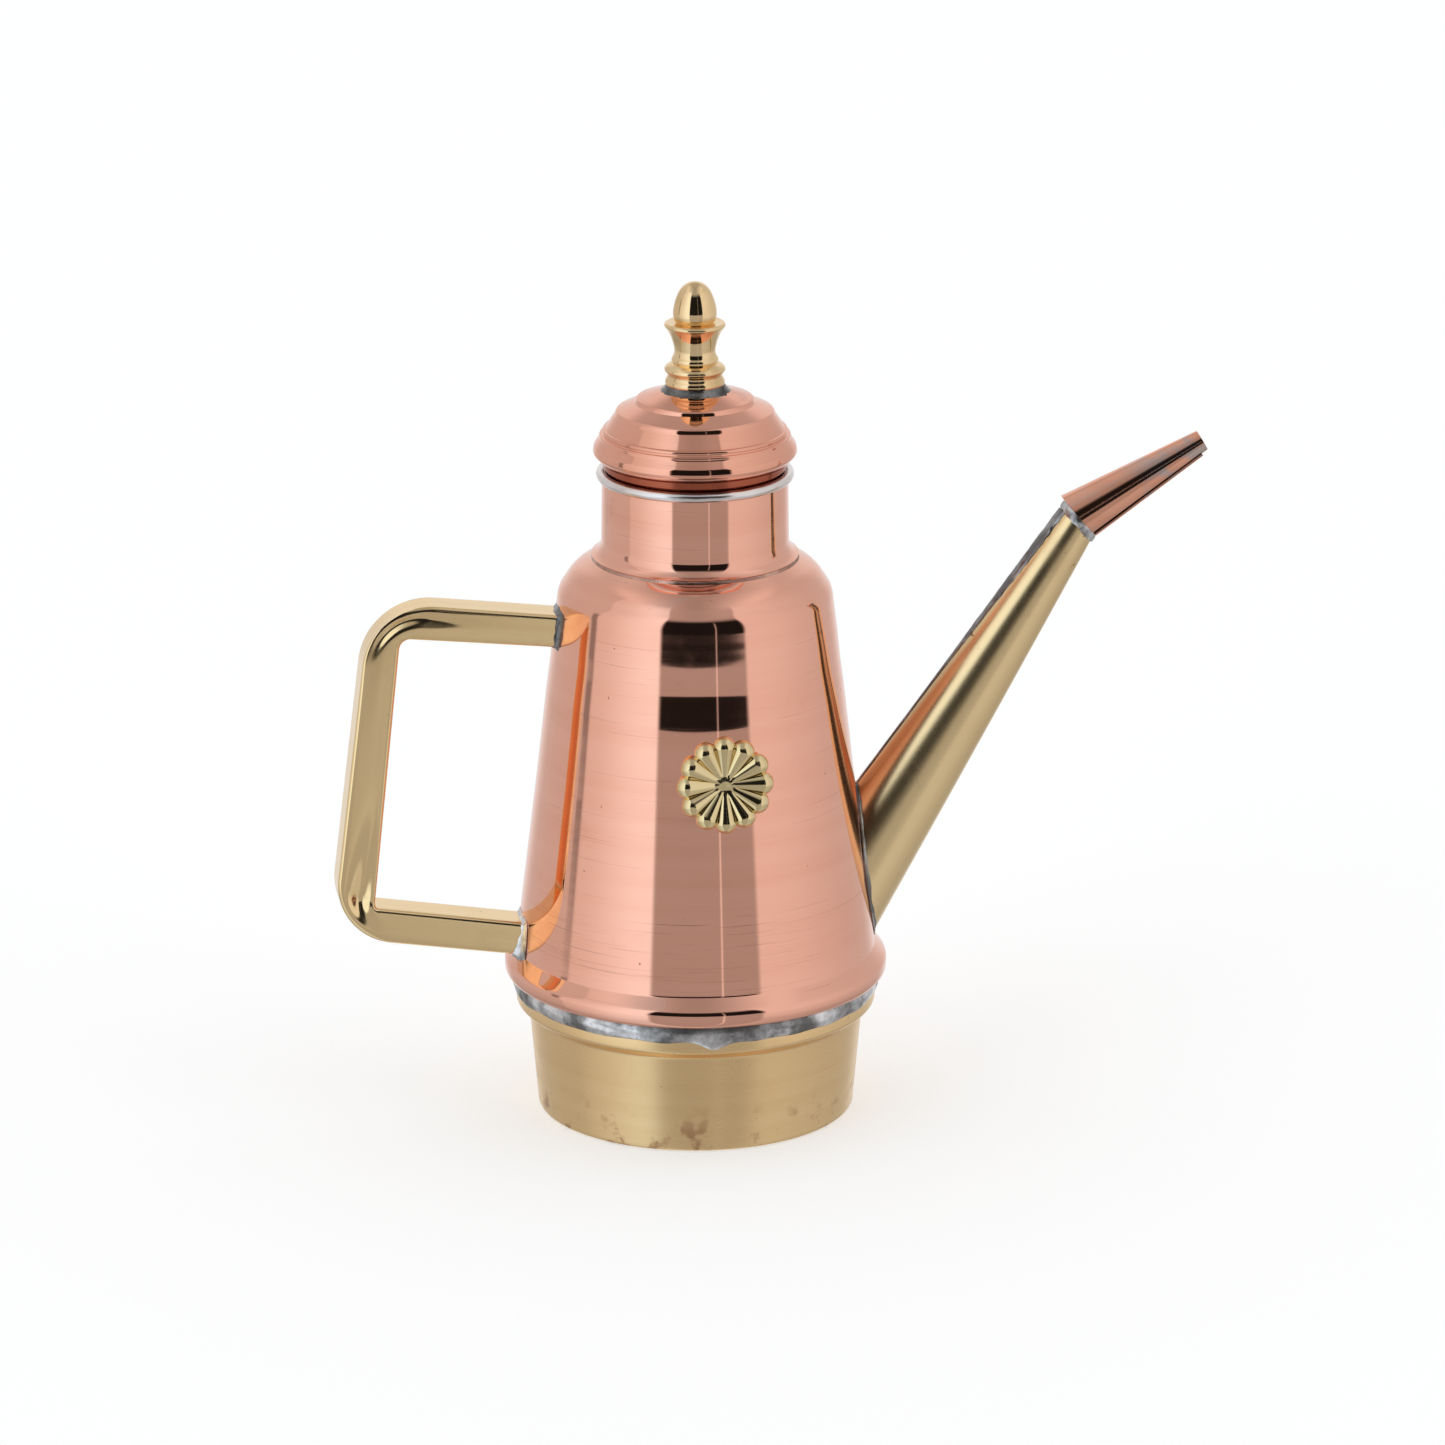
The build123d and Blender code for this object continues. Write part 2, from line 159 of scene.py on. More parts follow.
def makePiece(name, grid, form, body, nodes, material, places=None):
    # ring: rows and columns both close. ball: columns close, and the first and last rows are poles.
    # strip: rows close round a sheet whose first half is its outside, and its sides are walled.
    rows, columns = grid.shape[:2]
    points, tris = grid.reshape(-1, 3), np.zeros((0, 3), int)
    if form == "ball":
        rows -= 2
        points = np.vstack([grid[1:-1].reshape(-1, 3), grid[0, :1], grid[-1, :1]])
    index = np.arange(rows * columns).reshape(rows, columns)
    wrapped = index if form == "ball" else np.vstack([index, index[:1]])
    if form != "strip":
        wrapped = np.hstack([wrapped, wrapped[:, :1]])
    quads = gridQuads(wrapped)
    if form == "ball":
        first, last = wrapped[0], wrapped[-1]
        southPole, northPole = np.full(columns, rows * columns), np.full(columns, rows * columns + 1)
        tris = np.vstack([
            np.stack([southPole, first[:-1], first[1:]], 1),
            np.stack([northPole, last[1:], last[:-1]], 1),
        ])
    if form == "strip":
        outside, inside = index[: rows // 2], index[rows // 2 :][::-1]
        for column, order in ((0, 1), (-1, -1)):
            wall = gridQuads(np.stack([outside[:, column], inside[:, column]], 1))
            quads = np.vstack([quads, wall[:, ::-order]])
    flat = np.vstack([quads[:, [0, 1, 2]], quads[:, [0, 2, 3]], tris])
    a, b, c = points[flat[:, 0]], points[flat[:, 1]], points[flat[:, 2]]
    if (a * np.cross(b, c)).sum() < 0:  # the volume is negative when faces point inwards
        quads, tris = quads[:, ::-1], tris[:, ::-1]
    corners = np.concatenate([quads.ravel(), tris.ravel()]).astype(np.int32)
    totals = np.repeat([4, 3], [len(quads), len(tris)]).astype(np.int32)
    mesh = bpy.data.meshes.new(name)
    mesh.vertices.add(len(points))
    mesh.vertices.foreach_set("co", (points * mm).ravel())
    mesh.loops.add(len(corners))
    mesh.loops.foreach_set("vertex_index", corners)
    mesh.polygons.add(len(totals))
    mesh.polygons.foreach_set("loop_start", (np.cumsum(totals) - totals).astype(np.int32))
    mesh.polygons.foreach_set("loop_total", totals)
    mesh.polygons.foreach_set("use_smooth", np.ones(len(totals), bool))
    mesh.update(calc_edges=True)
    mesh.set_sharp_from_angle(angle=radians(38))
    if places is not None:  # a sheet position for every point: along and across, in metres
        layer = mesh.uv_layers.new(name="sheet")
        layer.data.foreach_set("uv", (places.reshape(-1, 2)[corners] * mm).ravel())
    piece = bpy.data.objects.new(name, mesh)
    bpy.context.collection.objects.link(piece)
    mesh.materials.append(material)
    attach(piece, body)
    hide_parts(*nodes)


class Wire:
    # an output socket that can be added, subtracted and multiplied
    def __init__(self, bench, socket):
        self.bench = bench
        self.socket = socket

    def sum(self, operation, left, right):
        return self.bench.node("ShaderNodeMath", {"operation": operation}, {0: left, 1: right})

    def __add__(self, other):
        return self.sum("ADD", self, other)

    def __sub__(self, other):
        return self.sum("SUBTRACT", self, other)

    def __mul__(self, other):
        return self.sum("MULTIPLY", self, other)

    def __radd__(self, other):
        return self.sum("ADD", other, self)

    def __rsub__(self, other):
        return self.sum("SUBTRACT", other, self)

    def __rmul__(self, other):
        return self.sum("MULTIPLY", other, self)


class Bench:
    # adds nodes to one tree
    def __init__(self, tree):
        self.tree = tree

    def node(self, kind, settings, inputs, output=0):
        made = self.tree.nodes.new(kind)
        for key, value in settings.items():
            setattr(made, key, value)
        for key, value in inputs.items():
            if isinstance(value, Wire):
                self.tree.links.new(value.socket, made.inputs[key])
            else:
                made.inputs[key].default_value = value
        return Wire(self, made.outputs[output])

    def smooth(self, value, low, high):
        # 0 below low, 1 above high and an easy curve between
        return self.node(
            "ShaderNodeMapRange", {"interpolation_type": "SMOOTHSTEP"},
            {"Value": value, "From Min": low, "From Max": high},
        )

    def band(self, value, low, high, soft):
        return self.smooth(value, low - soft, low + soft) * (1 - self.smooth(value, high - soft, high + soft))

    def stretched(self, coords, scale):
        return self.node("ShaderNodeMapping", {}, {"Vector": coords, "Scale": scale})

    def part(self, coords, axis):
        return self.node("ShaderNodeSeparateXYZ", {}, {"Vector": coords}, axis)

    def noise(self, coords, scale, detail=3.0, rough=0.55):
        return self.node(
            "ShaderNodeTexNoise", {},
            {"Vector": coords, "Scale": scale, "Detail": detail, "Roughness": rough},
        )

    def tint(self, share, first, second):
        return self.node("ShaderNodeMix", {"data_type": "RGBA"}, {0: share, 6: first, 7: second}, 2)


def newMetal(name):
    # a bench on an empty material, its coordinates and its shader
    material = bpy.data.materials.new(name)
    material.use_nodes = True
    bench = Bench(material.node_tree)
    shader = next(n for n in material.node_tree.nodes if n.type == "BSDF_PRINCIPLED")
    shader.inputs["Metallic"].default_value = 1.0
    coords = bench.node("ShaderNodeTexCoord", {}, {}, "Object")
    return material, bench, shader, coords


def finishMetal(bench, shader, colour, roughness, relief, depth):
    # colour and roughness go to the shader, and the relief goes through a bump, in millimetres
    bump = bench.node("ShaderNodeBump", {}, {"Strength": 1.0, "Distance": depth * mm, "Height": relief})
    for socket, wire in (("Base Color", colour), ("Roughness", roughness), ("Normal", bump)):
        bench.tree.links.new(wire.socket, shader.inputs[socket])


copperLook = {
    "bright": (0.95, 0.495, 0.365, 1),
    "deep": (0.86, 0.395, 0.270, 1),
    "stain": (0.34, 0.190, 0.150, 1),
    "speck": (0.10, 0.055, 0.045, 1),
    "gloss": 0.035,
    "lineDepth": 0.0008,
}


def spunCopper(name, look, dull=0.0, stained=0.0, smear=None):
    # lines run round the axis, because the noise is stretched a hundredfold sideways
    material, bench, shader, coords = newMetal(name)
    rings = bench.noise(bench.stretched(coords, (7, 7, 1300)), 1.0, 4.0, 0.7)
    bands = bench.noise(bench.stretched(coords, (4, 4, 150)), 1.0, 3.0)
    clouds = bench.noise(coords, 42.0, 6.0, 0.62)
    fine = bench.noise(bench.stretched(coords, (22, 22, 2600)), 1.0, 2.0)
    height = bench.part(coords, "Z")
    turned = bench.band(height, 0.052, 0.070, 0.006) * 0.07
    scratches = bench.smooth(fine + turned, 0.66, 0.74)
    specks = bench.smooth(bench.noise(coords, 420.0, 2.0), 0.755, 0.80)
    smudges = bench.smooth(clouds, 0.56, 0.80)
    shade = bench.smooth(bands, 0.35, 0.72) * 0.35 + smudges * 0.30
    tone = bench.tint(shade, look["bright"], look["deep"])
    stains = bench.smooth(clouds, 0.62, 0.90) * (0.25 + stained) + scratches * 0.30
    tone = bench.tint(stains, tone, look["stain"])
    tone = bench.tint(specks * 0.65, tone, look["speck"])
    if smear:
        tone = bench.tint(smear(bench, coords), tone, look["smear"])
    gloss = look["gloss"] + dull + smudges * 0.08 + bands * 0.02 + scratches * 0.10
    relief = rings * 0.55 + scratches * 0.5 + specks * 0.6 + clouds * 0.25
    finishMetal(bench, shader, tone, gloss, relief, look["lineDepth"])
    return material


brassLook = {
    "bright": (0.97, 0.720, 0.395, 1),
    "deep": (0.85, 0.590, 0.290, 1),
    "tarnish": (0.42, 0.180, 0.080, 1),
    "speck": (0.12, 0.070, 0.040, 1),
    "gloss": 0.20,
    "lineDepth": 0.004,
}


def satinBrass(name, look, grain, onSheet=False, tarnish=None, gloss=None):
    # grain is the stretch of the rubbed lines; tarnish is a mask function of the bench and coordinates
    material, bench, shader, coords = newMetal(name)
    along = bench.node("ShaderNodeUVMap", {"uv_map": "sheet"}, {}) if onSheet else coords
    lines = bench.noise(bench.stretched(along, grain), 1.0, 4.0, 0.7)
    broad = bench.noise(bench.stretched(along, tuple(g * 0.12 for g in grain)), 1.0, 3.0)
    clouds = bench.noise(coords, 55.0, 5.0, 0.6)
    specks = bench.smooth(bench.noise(coords, 520.0, 2.0), 0.745, 0.80)
    shade = bench.smooth(broad, 0.35, 0.7) * 0.4 + bench.smooth(clouds, 0.5, 0.8) * 0.3
    tone = bench.tint(shade, look["bright"], look["deep"])
    if tarnish:
        tone = bench.tint(tarnish(bench, coords), tone, look["tarnish"])
    tone = bench.tint(specks * 0.6, tone, look["speck"])
    shine = (gloss or look["gloss"]) + bench.smooth(clouds, 0.5, 0.85) * 0.10 + lines * 0.05
    relief = lines * 0.6 + specks * 0.8 + clouds * 0.3
    finishMetal(bench, shader, tone, shine, relief, look["lineDepth"])
    return material


solderLook = {
    "bright": (0.92, 0.900, 0.910, 1),
    "dull": (0.21, 0.200, 0.197, 1),
    "pit": (0.07, 0.060, 0.055, 1),
    "gloss": 0.17,
    "depth": 0.07,
}


def softSolder(name, look, dark=0.0):
    material, bench, shader, coords = newMetal(name)
    clouds = bench.noise(coords, 95.0, 5.0, 0.6)
    grain = bench.noise(coords, 900.0, 3.0)
    pits = bench.smooth(bench.noise(coords, 600.0, 2.0), 0.66, 0.76)
    tone = bench.tint(bench.smooth(clouds, 0.34 - dark, 0.66 - dark), look["bright"], look["dull"])
    tone = bench.tint(pits * 0.8, tone, look["pit"])
    shine = look["gloss"] + bench.smooth(clouds, 0.4, 0.7) * 0.28 + grain * 0.08
    finishMetal(bench, shader, tone, shine, clouds * 1.2 + grain * 0.35 - pits * 0.7, look["depth"])
    return material


turnedLook = {"bright": (0.94, 0.685, 0.385, 1), "deep": (0.60, 0.370, 0.160, 1), "gloss": 0.04}


def turnedBrass(name, look):
    # fine tool rings by height, nearly polished out
    material, bench, shader, coords = newMetal(name)
    rings = bench.noise(bench.stretched(coords, (20, 20, 3000)), 1.0, 3.0)
    clouds = bench.noise(coords, 120.0, 5.0)
    tone = bench.tint(bench.smooth(clouds, 0.4, 0.75) * 0.5, look["bright"], look["deep"])
    finishMetal(bench, shader, tone, look["gloss"] + clouds * 0.07, rings * 0.6 + clouds * 0.2, 0.003)
    return material


tinLook = {"bright": (0.86, 0.80, 0.78, 1), "warm": (0.80, 0.56, 0.48, 1), "gloss": 0.16}


def hotTin(name, look):
    material, bench, shader, coords = newMetal(name)
    clouds = bench.noise(bench.stretched(coords, (90, 90, 260)), 1.0, 5.0)
    worn = bench.smooth(bench.noise(coords, 70.0, 4.0), 0.52, 0.72)
    tone = bench.tint(worn * 0.55, look["bright"], look["warm"])
    finishMetal(bench, shader, tone, look["gloss"] + clouds * 0.16, clouds, 0.02)
    return material


def footTarnish(bench, coords):
    # brown specks that thicken towards the foot's lower edge
    height = bench.part(coords, "Z")
    low = 1 - bench.smooth(height, 0.001, 0.016)
    patches = bench.smooth(bench.noise(coords, 190.0, 5.0), 0.54, 0.70)
    return patches * low * 0.75


def spoutTarnish(bench, coords):
    # red-brown spots in the upper half of the spout, and a brown shade along its upper side
    height = bench.part(coords, "Z")
    sheet = bench.node("ShaderNodeUVMap", {"uv_map": "sheet"}, {})
    around = bench.part(sheet, "Y")
    high = bench.smooth(height, 0.095, 0.125)
    spots = bench.smooth(bench.noise(coords, 240.0, 3.0), 0.66, 0.72)
    shade = bench.band(around, 0.0290, 0.0345, 0.0016) * (1 - bench.smooth(height, 0.110, 0.150))
    return spots * high * 0.8 + shade * 0.55


def tipSmear(bench, coords):
    # grey solder wiped over the copper, thickest towards the mouth
    reach = bench.part(coords, "X")
    patches = bench.smooth(bench.noise(bench.stretched(coords, (60, 110, 110)), 1.0, 5.0, 0.6), 0.50, 0.60)
    return patches * (0.15 + bench.smooth(reach, 0.118, 0.136) * 0.65)


copper = spunCopper("spunCopper", copperLook)
lidLook = dict(copperLook, bright=(0.94, 0.470, 0.340, 1), deep=(0.76, 0.300, 0.180, 1))
lidCopper = spunCopper("lidCopper", lidLook, dull=0.01, stained=0.70)
tipTones = {
    "bright": (0.92, 0.450, 0.305, 1),
    "deep": (0.74, 0.310, 0.190, 1),
    "smear": (0.50, 0.46, 0.45, 1),
}
tipLook = dict(copperLook, **tipTones)
tipCopper = spunCopper("rolledCopper", tipLook, dull=0.05, stained=0.5, smear=tipSmear)
# painted shade: the sleeve's copper is a dark red-brown copy of the copper, standing in for the shadow
# between the lid and the rim
shadedSleeveLook = dict(copperLook, bright=(0.42, 0.11, 0.06, 1), deep=(0.30, 0.07, 0.04, 1))
shadedSleeveCopper = spunCopper("shadedSleeveCopper", shadedSleeveLook, dull=0.15)
footLook = dict(brassLook, bright=(0.99, 0.695, 0.365, 1), deep=(0.86, 0.565, 0.265, 1))
footBrass = satinBrass("footBrass", footLook, (9, 9, 1500), tarnish=footTarnish, gloss=0.24)
handleBrass = satinBrass("handleBrass", brassLook, (30, 1500, 1), onSheet=True, gloss=0.12)
spoutLook = dict(brassLook, bright=(1.0, 0.755, 0.425, 1), deep=(0.86, 0.605, 0.305, 1))
spoutBrass = satinBrass(
    "spoutBrass", spoutLook, (20, 1300, 1), onSheet=True, tarnish=spoutTarnish, gloss=0.23
)
pressedLook = dict(brassLook, bright=(0.84, 0.68, 0.38, 1))
pressedBrass = satinBrass("pressedBrass", pressedLook, (200, 200, 200), gloss=0.09)
finialBrass = turnedBrass("turnedBrass", turnedLook)
solder = softSolder("softSolder", solderLook)
darkSolder = softSolder("darkSolder", dict(solderLook, bright=(0.50, 0.48, 0.48, 1)), dark=0.10)
collarLook = dict(solderLook, bright=(0.26, 0.25, 0.245, 1), dull=(0.09, 0.085, 0.08, 1))
collarSolder = softSolder("collarSolder", collarLook)
warmLook = dict(solderLook, bright=(0.70, 0.43, 0.34, 1), dull=(0.42, 0.24, 0.19, 1))
warmSolder = softSolder("warmSolder", warmLook)
tin = hotTin("hotTin", tinLook)
print("materials")


bodyShape = {
    # radius and height above the bead's underside
    "bead": ((51.2, 0), (54.4, 0), (54.4, 4.8)),
    "cone": ((51.1, 8.6), (38.4, 112.7)),
    "shoulder": ((34.3, 118.8), (26.3, 123.54), (25.4, 124.34), (25.4, 128.5)),
    "rounds": (2.4, 2.6, 0.7, 8.0, 12.0, 0, 0.5),
    "wall": 0.9,
    "ripple": 0.005,
    # the cone's side leans in or out by tiny amounts between some heights above the bead's underside
    "leans": ((93.0, 100.6, -0.0180), (83.3, 93.0, 0.0100), (60.0, 83.3, -0.0090)),
    "leanEase": 0.7,
}


def stepUp(value, low, high):
    # 0 below low, 1 above high and an easy curve between
    share = np.clip((value - low) / (high - low), 0, 1)
    return share * share * (3 - 2 * share)


def makeBody(shape):
    corners = [*shape["bead"], *shape["cone"], *shape["shoulder"]]
    outline = sheetOutline(corners, shape["rounds"], shape["wall"])
    outline[:, 0] += ringRipple(outline[:, 1], shape["ripple"])
    for low, high, lean in shape["leans"]:
        # a lean is a change of slope, so the radius gathers its length so far, counted from the top
        fine = np.linspace(low - 3, high + 3, 400)
        slope = lean * stepUp(fine, low - shape["leanEase"], low + shape["leanEase"])
        slope = slope * (1 - stepUp(fine, high - shape["leanEase"], high + shape["leanEase"]))
        gathered = np.cumsum(slope[::-1])[::-1] * (fine[1] - fine[0])
        outline[:, 0] += np.interp(outline[:, 1], fine, gathered)
    outline[:, 1] += cornerOf("body_shell", 0)[2]
    makePiece("bodyCone", spun(outline, 256), "ring", "can", ["body_shell"], copper)


def coneRadius(height):
    # straight line between the cone's two corners
    (lowRadius, low), (highRadius, high) = bodyShape["cone"]
    base = cornerOf("body_shell", 0)[2]
    return lowRadius + (height - base - low) / (high - low) * (highRadius - lowRadius)


makeBody(bodyShape)

neckShape = {
    # radius and height below the rim's centre: a flange on the shoulder, and the tube
    "line": ((29.05, -22.96), (26.3, -21.33), (26.0, 0)),
    "rounds": (4.5,),
    "wall": 0.8,
    "wire": 1.45,
    "bore": 24.9,
    "ripple": 0.005,
}


def makeNeck(shape):
    high = cornerOf("neck", 1)
    outline = sheetOutline(shape["line"], shape["rounds"], shape["wall"], 0.6)
    outline[:, 0] += ringRipple(outline[:, 1], shape["ripple"])
    outline[:, 1] += high[2]
    makePiece("neckTube", spun(outline), "ring", "can", ["neck"], copper)
    # the wire: a circle whose inside is cut flat at the bore, with a slightly uneven tin coat
    rimHigh = cornerOf("neck_rim", 1)
    turn = fullTurn(288)
    around = fullTurn(40)[:, None]
    thick = shape["wire"] + lumps(around / 6, turn, 0.05)
    radius = np.maximum(rimHigh[0] - shape["wire"] + thick * np.cos(around), shape["bore"])
    height = rimHigh[2] - shape["wire"] + thick * np.sin(around)
    makePiece("rimWire", aroundAxis(radius, turn, height), "ring", "can", ["neck_rim"], tin)


makeNeck(neckShape)

footShape = {
    # radius and height above the floor, from the middle of the underside to the band's rim
    "line": ((0, 0), (44.7, 0), (47.3, 28.7), (50.9, 31.3), (51.0, 44.0)),
    "rounds": (1.3, 1.4, 1.6),
    "wall": 1.0,
    "ripple": 0.012,
    "flat": 5.0,  # no ripple on the underside within this radius
}


def makeFoot(shape):
    outline = sheetOutline(shape["line"], shape["rounds"], shape["wall"])
    outline[:, 0] += ringRipple(outline[:, 1], shape["ripple"]) * (outline[:, 0] > shape["flat"])
    makePiece("footCup", spun(outline), "ball", "can", ["foot_cup"], footBrass)


makeFoot(footShape)
print("body, neck and foot")

lidShape = {
    "corners": (
        (26.5, 0), (28.6, 2.2), (28.2, 4.1), (22.5, 12.8), (21.95, 14.1),
        (16.85, 16.4), (16.3, 17.6), (8.0, 20.2), (2.6, 20.9),
    ),
    "rounds": (1.4, 1.5, 0, 1.2, 0, 1.0, 4.0),
    "wall": 0.8,
    "ribs": (7.0, 8.4),
    "rib": 0.4,
    "ripple": 0.012,
}


def makeLid(shape):
    base = cornerOf("lid_dome", 0)[2]
    outer = roundedLine(shape["corners"], shape["rounds"], 0.22)
    # a rib is a round swelling of the line, out along the slope's normal
    slope = np.array(shape["corners"][3]) - np.array(shape["corners"][2])
    normal = np.array([slope[1], -slope[0]]) / np.linalg.norm(slope)
    for rib in shape["ribs"]:
        bulge = np.sqrt(np.maximum(1 - ((outer[:, 1] - rib) / (1.15 * shape["rib"])) ** 2, 0))
        outer += shape["rib"] * bulge[:, None] * normal
    outer[:, 0] += ringRipple(outer[:, 1], shape["ripple"])
    moved, rounds = movedIn(shape["corners"], shape["rounds"], shape["wall"])
    outline = np.vstack([outer, roundedLine(moved, rounds, 0.8)[::-1]])
    outline[:, 1] += base
    makePiece("lidDome", spun(outline, 256), "ring", "lid", ["lid_dome"], lidCopper)


makeLid(lidShape)

sleeveShape = {
    "radius": 24.3,
    "wall": 0.8,
    "stop": (25.6, 9.5, 12.4),  # the stop ring's radius, and its heights above the sleeve's lower edge
    "solder": ((24.32, 12.45), (26.6, 12.45), (26.95, 13.1)),
    "rounds": (0.2, 0, 0.4, 0.4, 0, 0.2),
    "solderRounds": (0.1, 0.2),
}


def makeSleeve(shape):
    low, high = cornerOf("lid_sleeve", 0)[2], cornerOf("lid_sleeve", 1)[2]
    outer, inner = shape["radius"], shape["radius"] - shape["wall"]
    stop, stopLow, stopHigh = shape["stop"]
    corners = [(inner, 0), (outer, 0), (outer, stopLow), (stop, stopLow)]
    corners += [(stop, stopHigh), (outer, stopHigh), (outer, high - low), (inner, high - low)]
    outline = roundedLine(corners, shape["rounds"]) + (0, low)
    # the sleeve wears the darkened copper, which is painted shade
    makePiece("lidSleeve", spun(outline), "ring", "lid", ["lid_sleeve"], shadedSleeveCopper)
    corners = [*shape["solder"], (shape["solder"][0][0], high - low)]
    outline = roundedLine(corners, shape["solderRounds"]) + (0, low)
    makePiece("sleeveSolder", spun(outline), "ring", "lid", ["lid_sleeve_solder"], darkSolder)


makeSleeve(sleeveShape)

finialShape = {
    # middle and end of each turned arc, as radius and height above the finial's seat
    "seat": 210.5,
    "turning": (
        ((8.36, 1.0), (8.0, 2.0)), ((7.7, 2.8), (7.9, 3.7)),
        ((8.4, 5.1), (6.3, 6.6)), ((6.55, 7.5), (6.1, 8.4)),
        ((5.75, 9.7), (5.9, 11.1)), ((6.8, 14.1), (8.3, 16.7)),
        ((8.55, 17.4), (7.9, 18.0)), ((6.5, 17.9), (5.3, 17.8)),
    ),
    "acorn": ((5.3, 17.8), (6.1, 20.0), (5.5, 24.1), (3.4, 28.1), (0, 29.5)),
    "spigot": 2.5,
    "base": 8.0,
}


def arcThrough(start, middle, end, steps):
    # quadratic curve that passes the middle point half way
    share = np.linspace(0, 1, steps)[:, None]
    start, middle, end = np.array(start), np.array(middle), np.array(end)
    pull = 2 * middle - (start + end) / 2
    return (1 - share) ** 2 * start + 2 * share * (1 - share) * pull + share**2 * end


def smoothThrough(knots, values, places):
    # one polynomial through all the knots, scaled to the range 0 to 1 for steadiness
    spread = knots[-1] - knots[0]
    curve = np.polyfit((knots - knots[0]) / spread, values, len(knots) - 1)
    return np.polyval(curve, (places - knots[0]) / spread)


def makeFinial(shape):
    low = cornerOf("finial", 0)[2] - shape["seat"]
    start = (shape["base"], 0)
    parts = [np.array([(0, low), (shape["spigot"], low), (shape["spigot"], 0), start])]
    for middle, end in shape["turning"]:
        parts.append(arcThrough(start, middle, end, 14)[1:])
        start = end
    # the acorn's squared radius is one smooth curve through its points, so that its top is round
    knots = np.array(shape["acorn"])
    share = np.linspace(0, 1, 44)[1:, None]
    rise = knots[0, 1] + (knots[-1, 1] - knots[0, 1]) * np.sin(share * pi / 2)
    radius = smoothThrough(knots[:, 1], knots[:, 0] ** 2, rise)
    parts.append(np.hstack([np.sqrt(np.maximum(radius, 0)), rise]))
    outline = np.vstack(parts) + (0, shape["seat"])
    outline[-1, 0] = 0
    makePiece("finialAcorn", spun(outline, 160), "ball", "lid", ["finial"], finialBrass)


makeFinial(finialShape)
print("lid and finial")

rosetteShape = {
    "petals": 12,
    "radius": 13.8,
    "halfWidth": 3.4,
    "root": (2.0, 1.1),  # where a petal starts, and its half width there
    "sink": 1.0,
    "height": 107.4,
    "turn": 2.0,
    "gap": 0.15,
    "padRadius": 11.5,
    "centre": 0.45,
    "dimple": (0.5, -1.4, 1.1, 2.0),  # depth, height above the centre, and its two half sizes
    "back": ((-0.25, 1.004), (-0.45, 0.99), (-0.45, 0.5)),  # drop behind the plane, share of the edge
    "padBack": ((0, -0.1), (0.6, -0.1), (0.97, -0.12), (1.0, -0.35), (1.02, -2.0), (0.6, -2.4), (0, -2.4)),
}


def rosettePlane(shape):
    # centre and the three directions of the plane that touches the cone under the rosette
    tilt = (coneRadius(50) - coneRadius(150)) / 100
    turn = radians(shape["turn"])
    normal = np.array([sin(turn), -cos(turn), tilt]) / sqrt(1 + tilt**2)
    across = np.array([cos(turn), sin(turn), 0])
    radius = coneRadius(shape["height"])
    centre = np.array([radius * sin(turn), -radius * cos(turn), shape["height"]]) + normal * shape["gap"]
    return centre, across, np.cross(normal, across), normal


def onPlane(plane, right, up, out):
    centre, across, upward, normal = plane
    return centre + right[..., None] * across + up[..., None] * upward + out[..., None] * normal


def makeRosette(shape):
    # a petal is half a cone with a ball end, sunk in the plane: sqrt(width^2 - sideways^2) - sink
    plane = rosettePlane(shape)
    turn = fullTurn(360)
    step = 2 * pi / shape["petals"]
    aside = (turn + pi / 2 + step / 2) % step - step / 2
    axisEnd = shape["radius"] - shape["halfWidth"]
    reach = sqrt(shape["halfWidth"] ** 2 - shape["sink"] ** 2)
    edge = axisEnd * np.cos(aside) + np.sqrt(reach**2 - (axisEnd * np.sin(aside)) ** 2)
    share = np.linspace(0, 1, 44)[1:, None] ** 0.8
    radius = share * edge
    along, sideways = radius * np.cos(aside), radius * np.sin(aside)
    rootReach, rootWidth = shape["root"]
    width = rootWidth + (along - rootReach) / (axisEnd - rootReach) * (shape["halfWidth"] - rootWidth)
    ball = np.sqrt(np.maximum(shape["halfWidth"] ** 2 - (along - axisEnd) ** 2, 0))
    width = np.where(along > axisEnd, ball, np.maximum(width, rootWidth))
    rise = np.sqrt(np.maximum(width**2 - sideways**2, 0)) - shape["sink"]
    depth, above, tall, wide = shape["dimple"]
    dimple = depth * bell((radius * np.sin(turn) - above) / tall) * bell(radius * np.cos(turn) / wide)
    centreRise = shape["centre"] - dimple
    inner = np.clip((radius - 1.6) / 1.8, 0, 1)
    rise = np.maximum(rise, -0.25) * inner + centreRise * (1 - inner)
    rows = [aroundAxis(radius, turn, rise)]
    rim = rows[0][-1]
    rows += [(rim * (pull, pull, 0) + (0, 0, drop))[None] for drop, pull in shape["back"]]
    middle = np.zeros((1, len(turn), 3))
    local = np.vstack([middle + (0, 0, rows[0][0, :, 2].mean()), *rows, middle + (0, 0, rows[-1][0, 0, 2])])
    grid = onPlane(plane, local[..., 0], local[..., 1], local[..., 2] + 0.35)
    makePiece("rosettePetals", grid, "ball", "can", ["rosette"], pressedBrass)
    # the solder pad: a disc with a lumpy edge, from inside the petals back to the cone
    padEdge = shape["padRadius"] + waves(turn, range(3, 12), 1.2)
    pad = np.array([aroundAxis(share * padEdge, turn, height) for share, height in shape["padBack"]])
    grid = onPlane(plane, pad[..., 0], pad[..., 1], pad[..., 2])
    makePiece("rosettePad", grid, "ball", "can", ["rosette_solder"], darkSolder)


makeRosette(rosetteShape)
print("rosette")

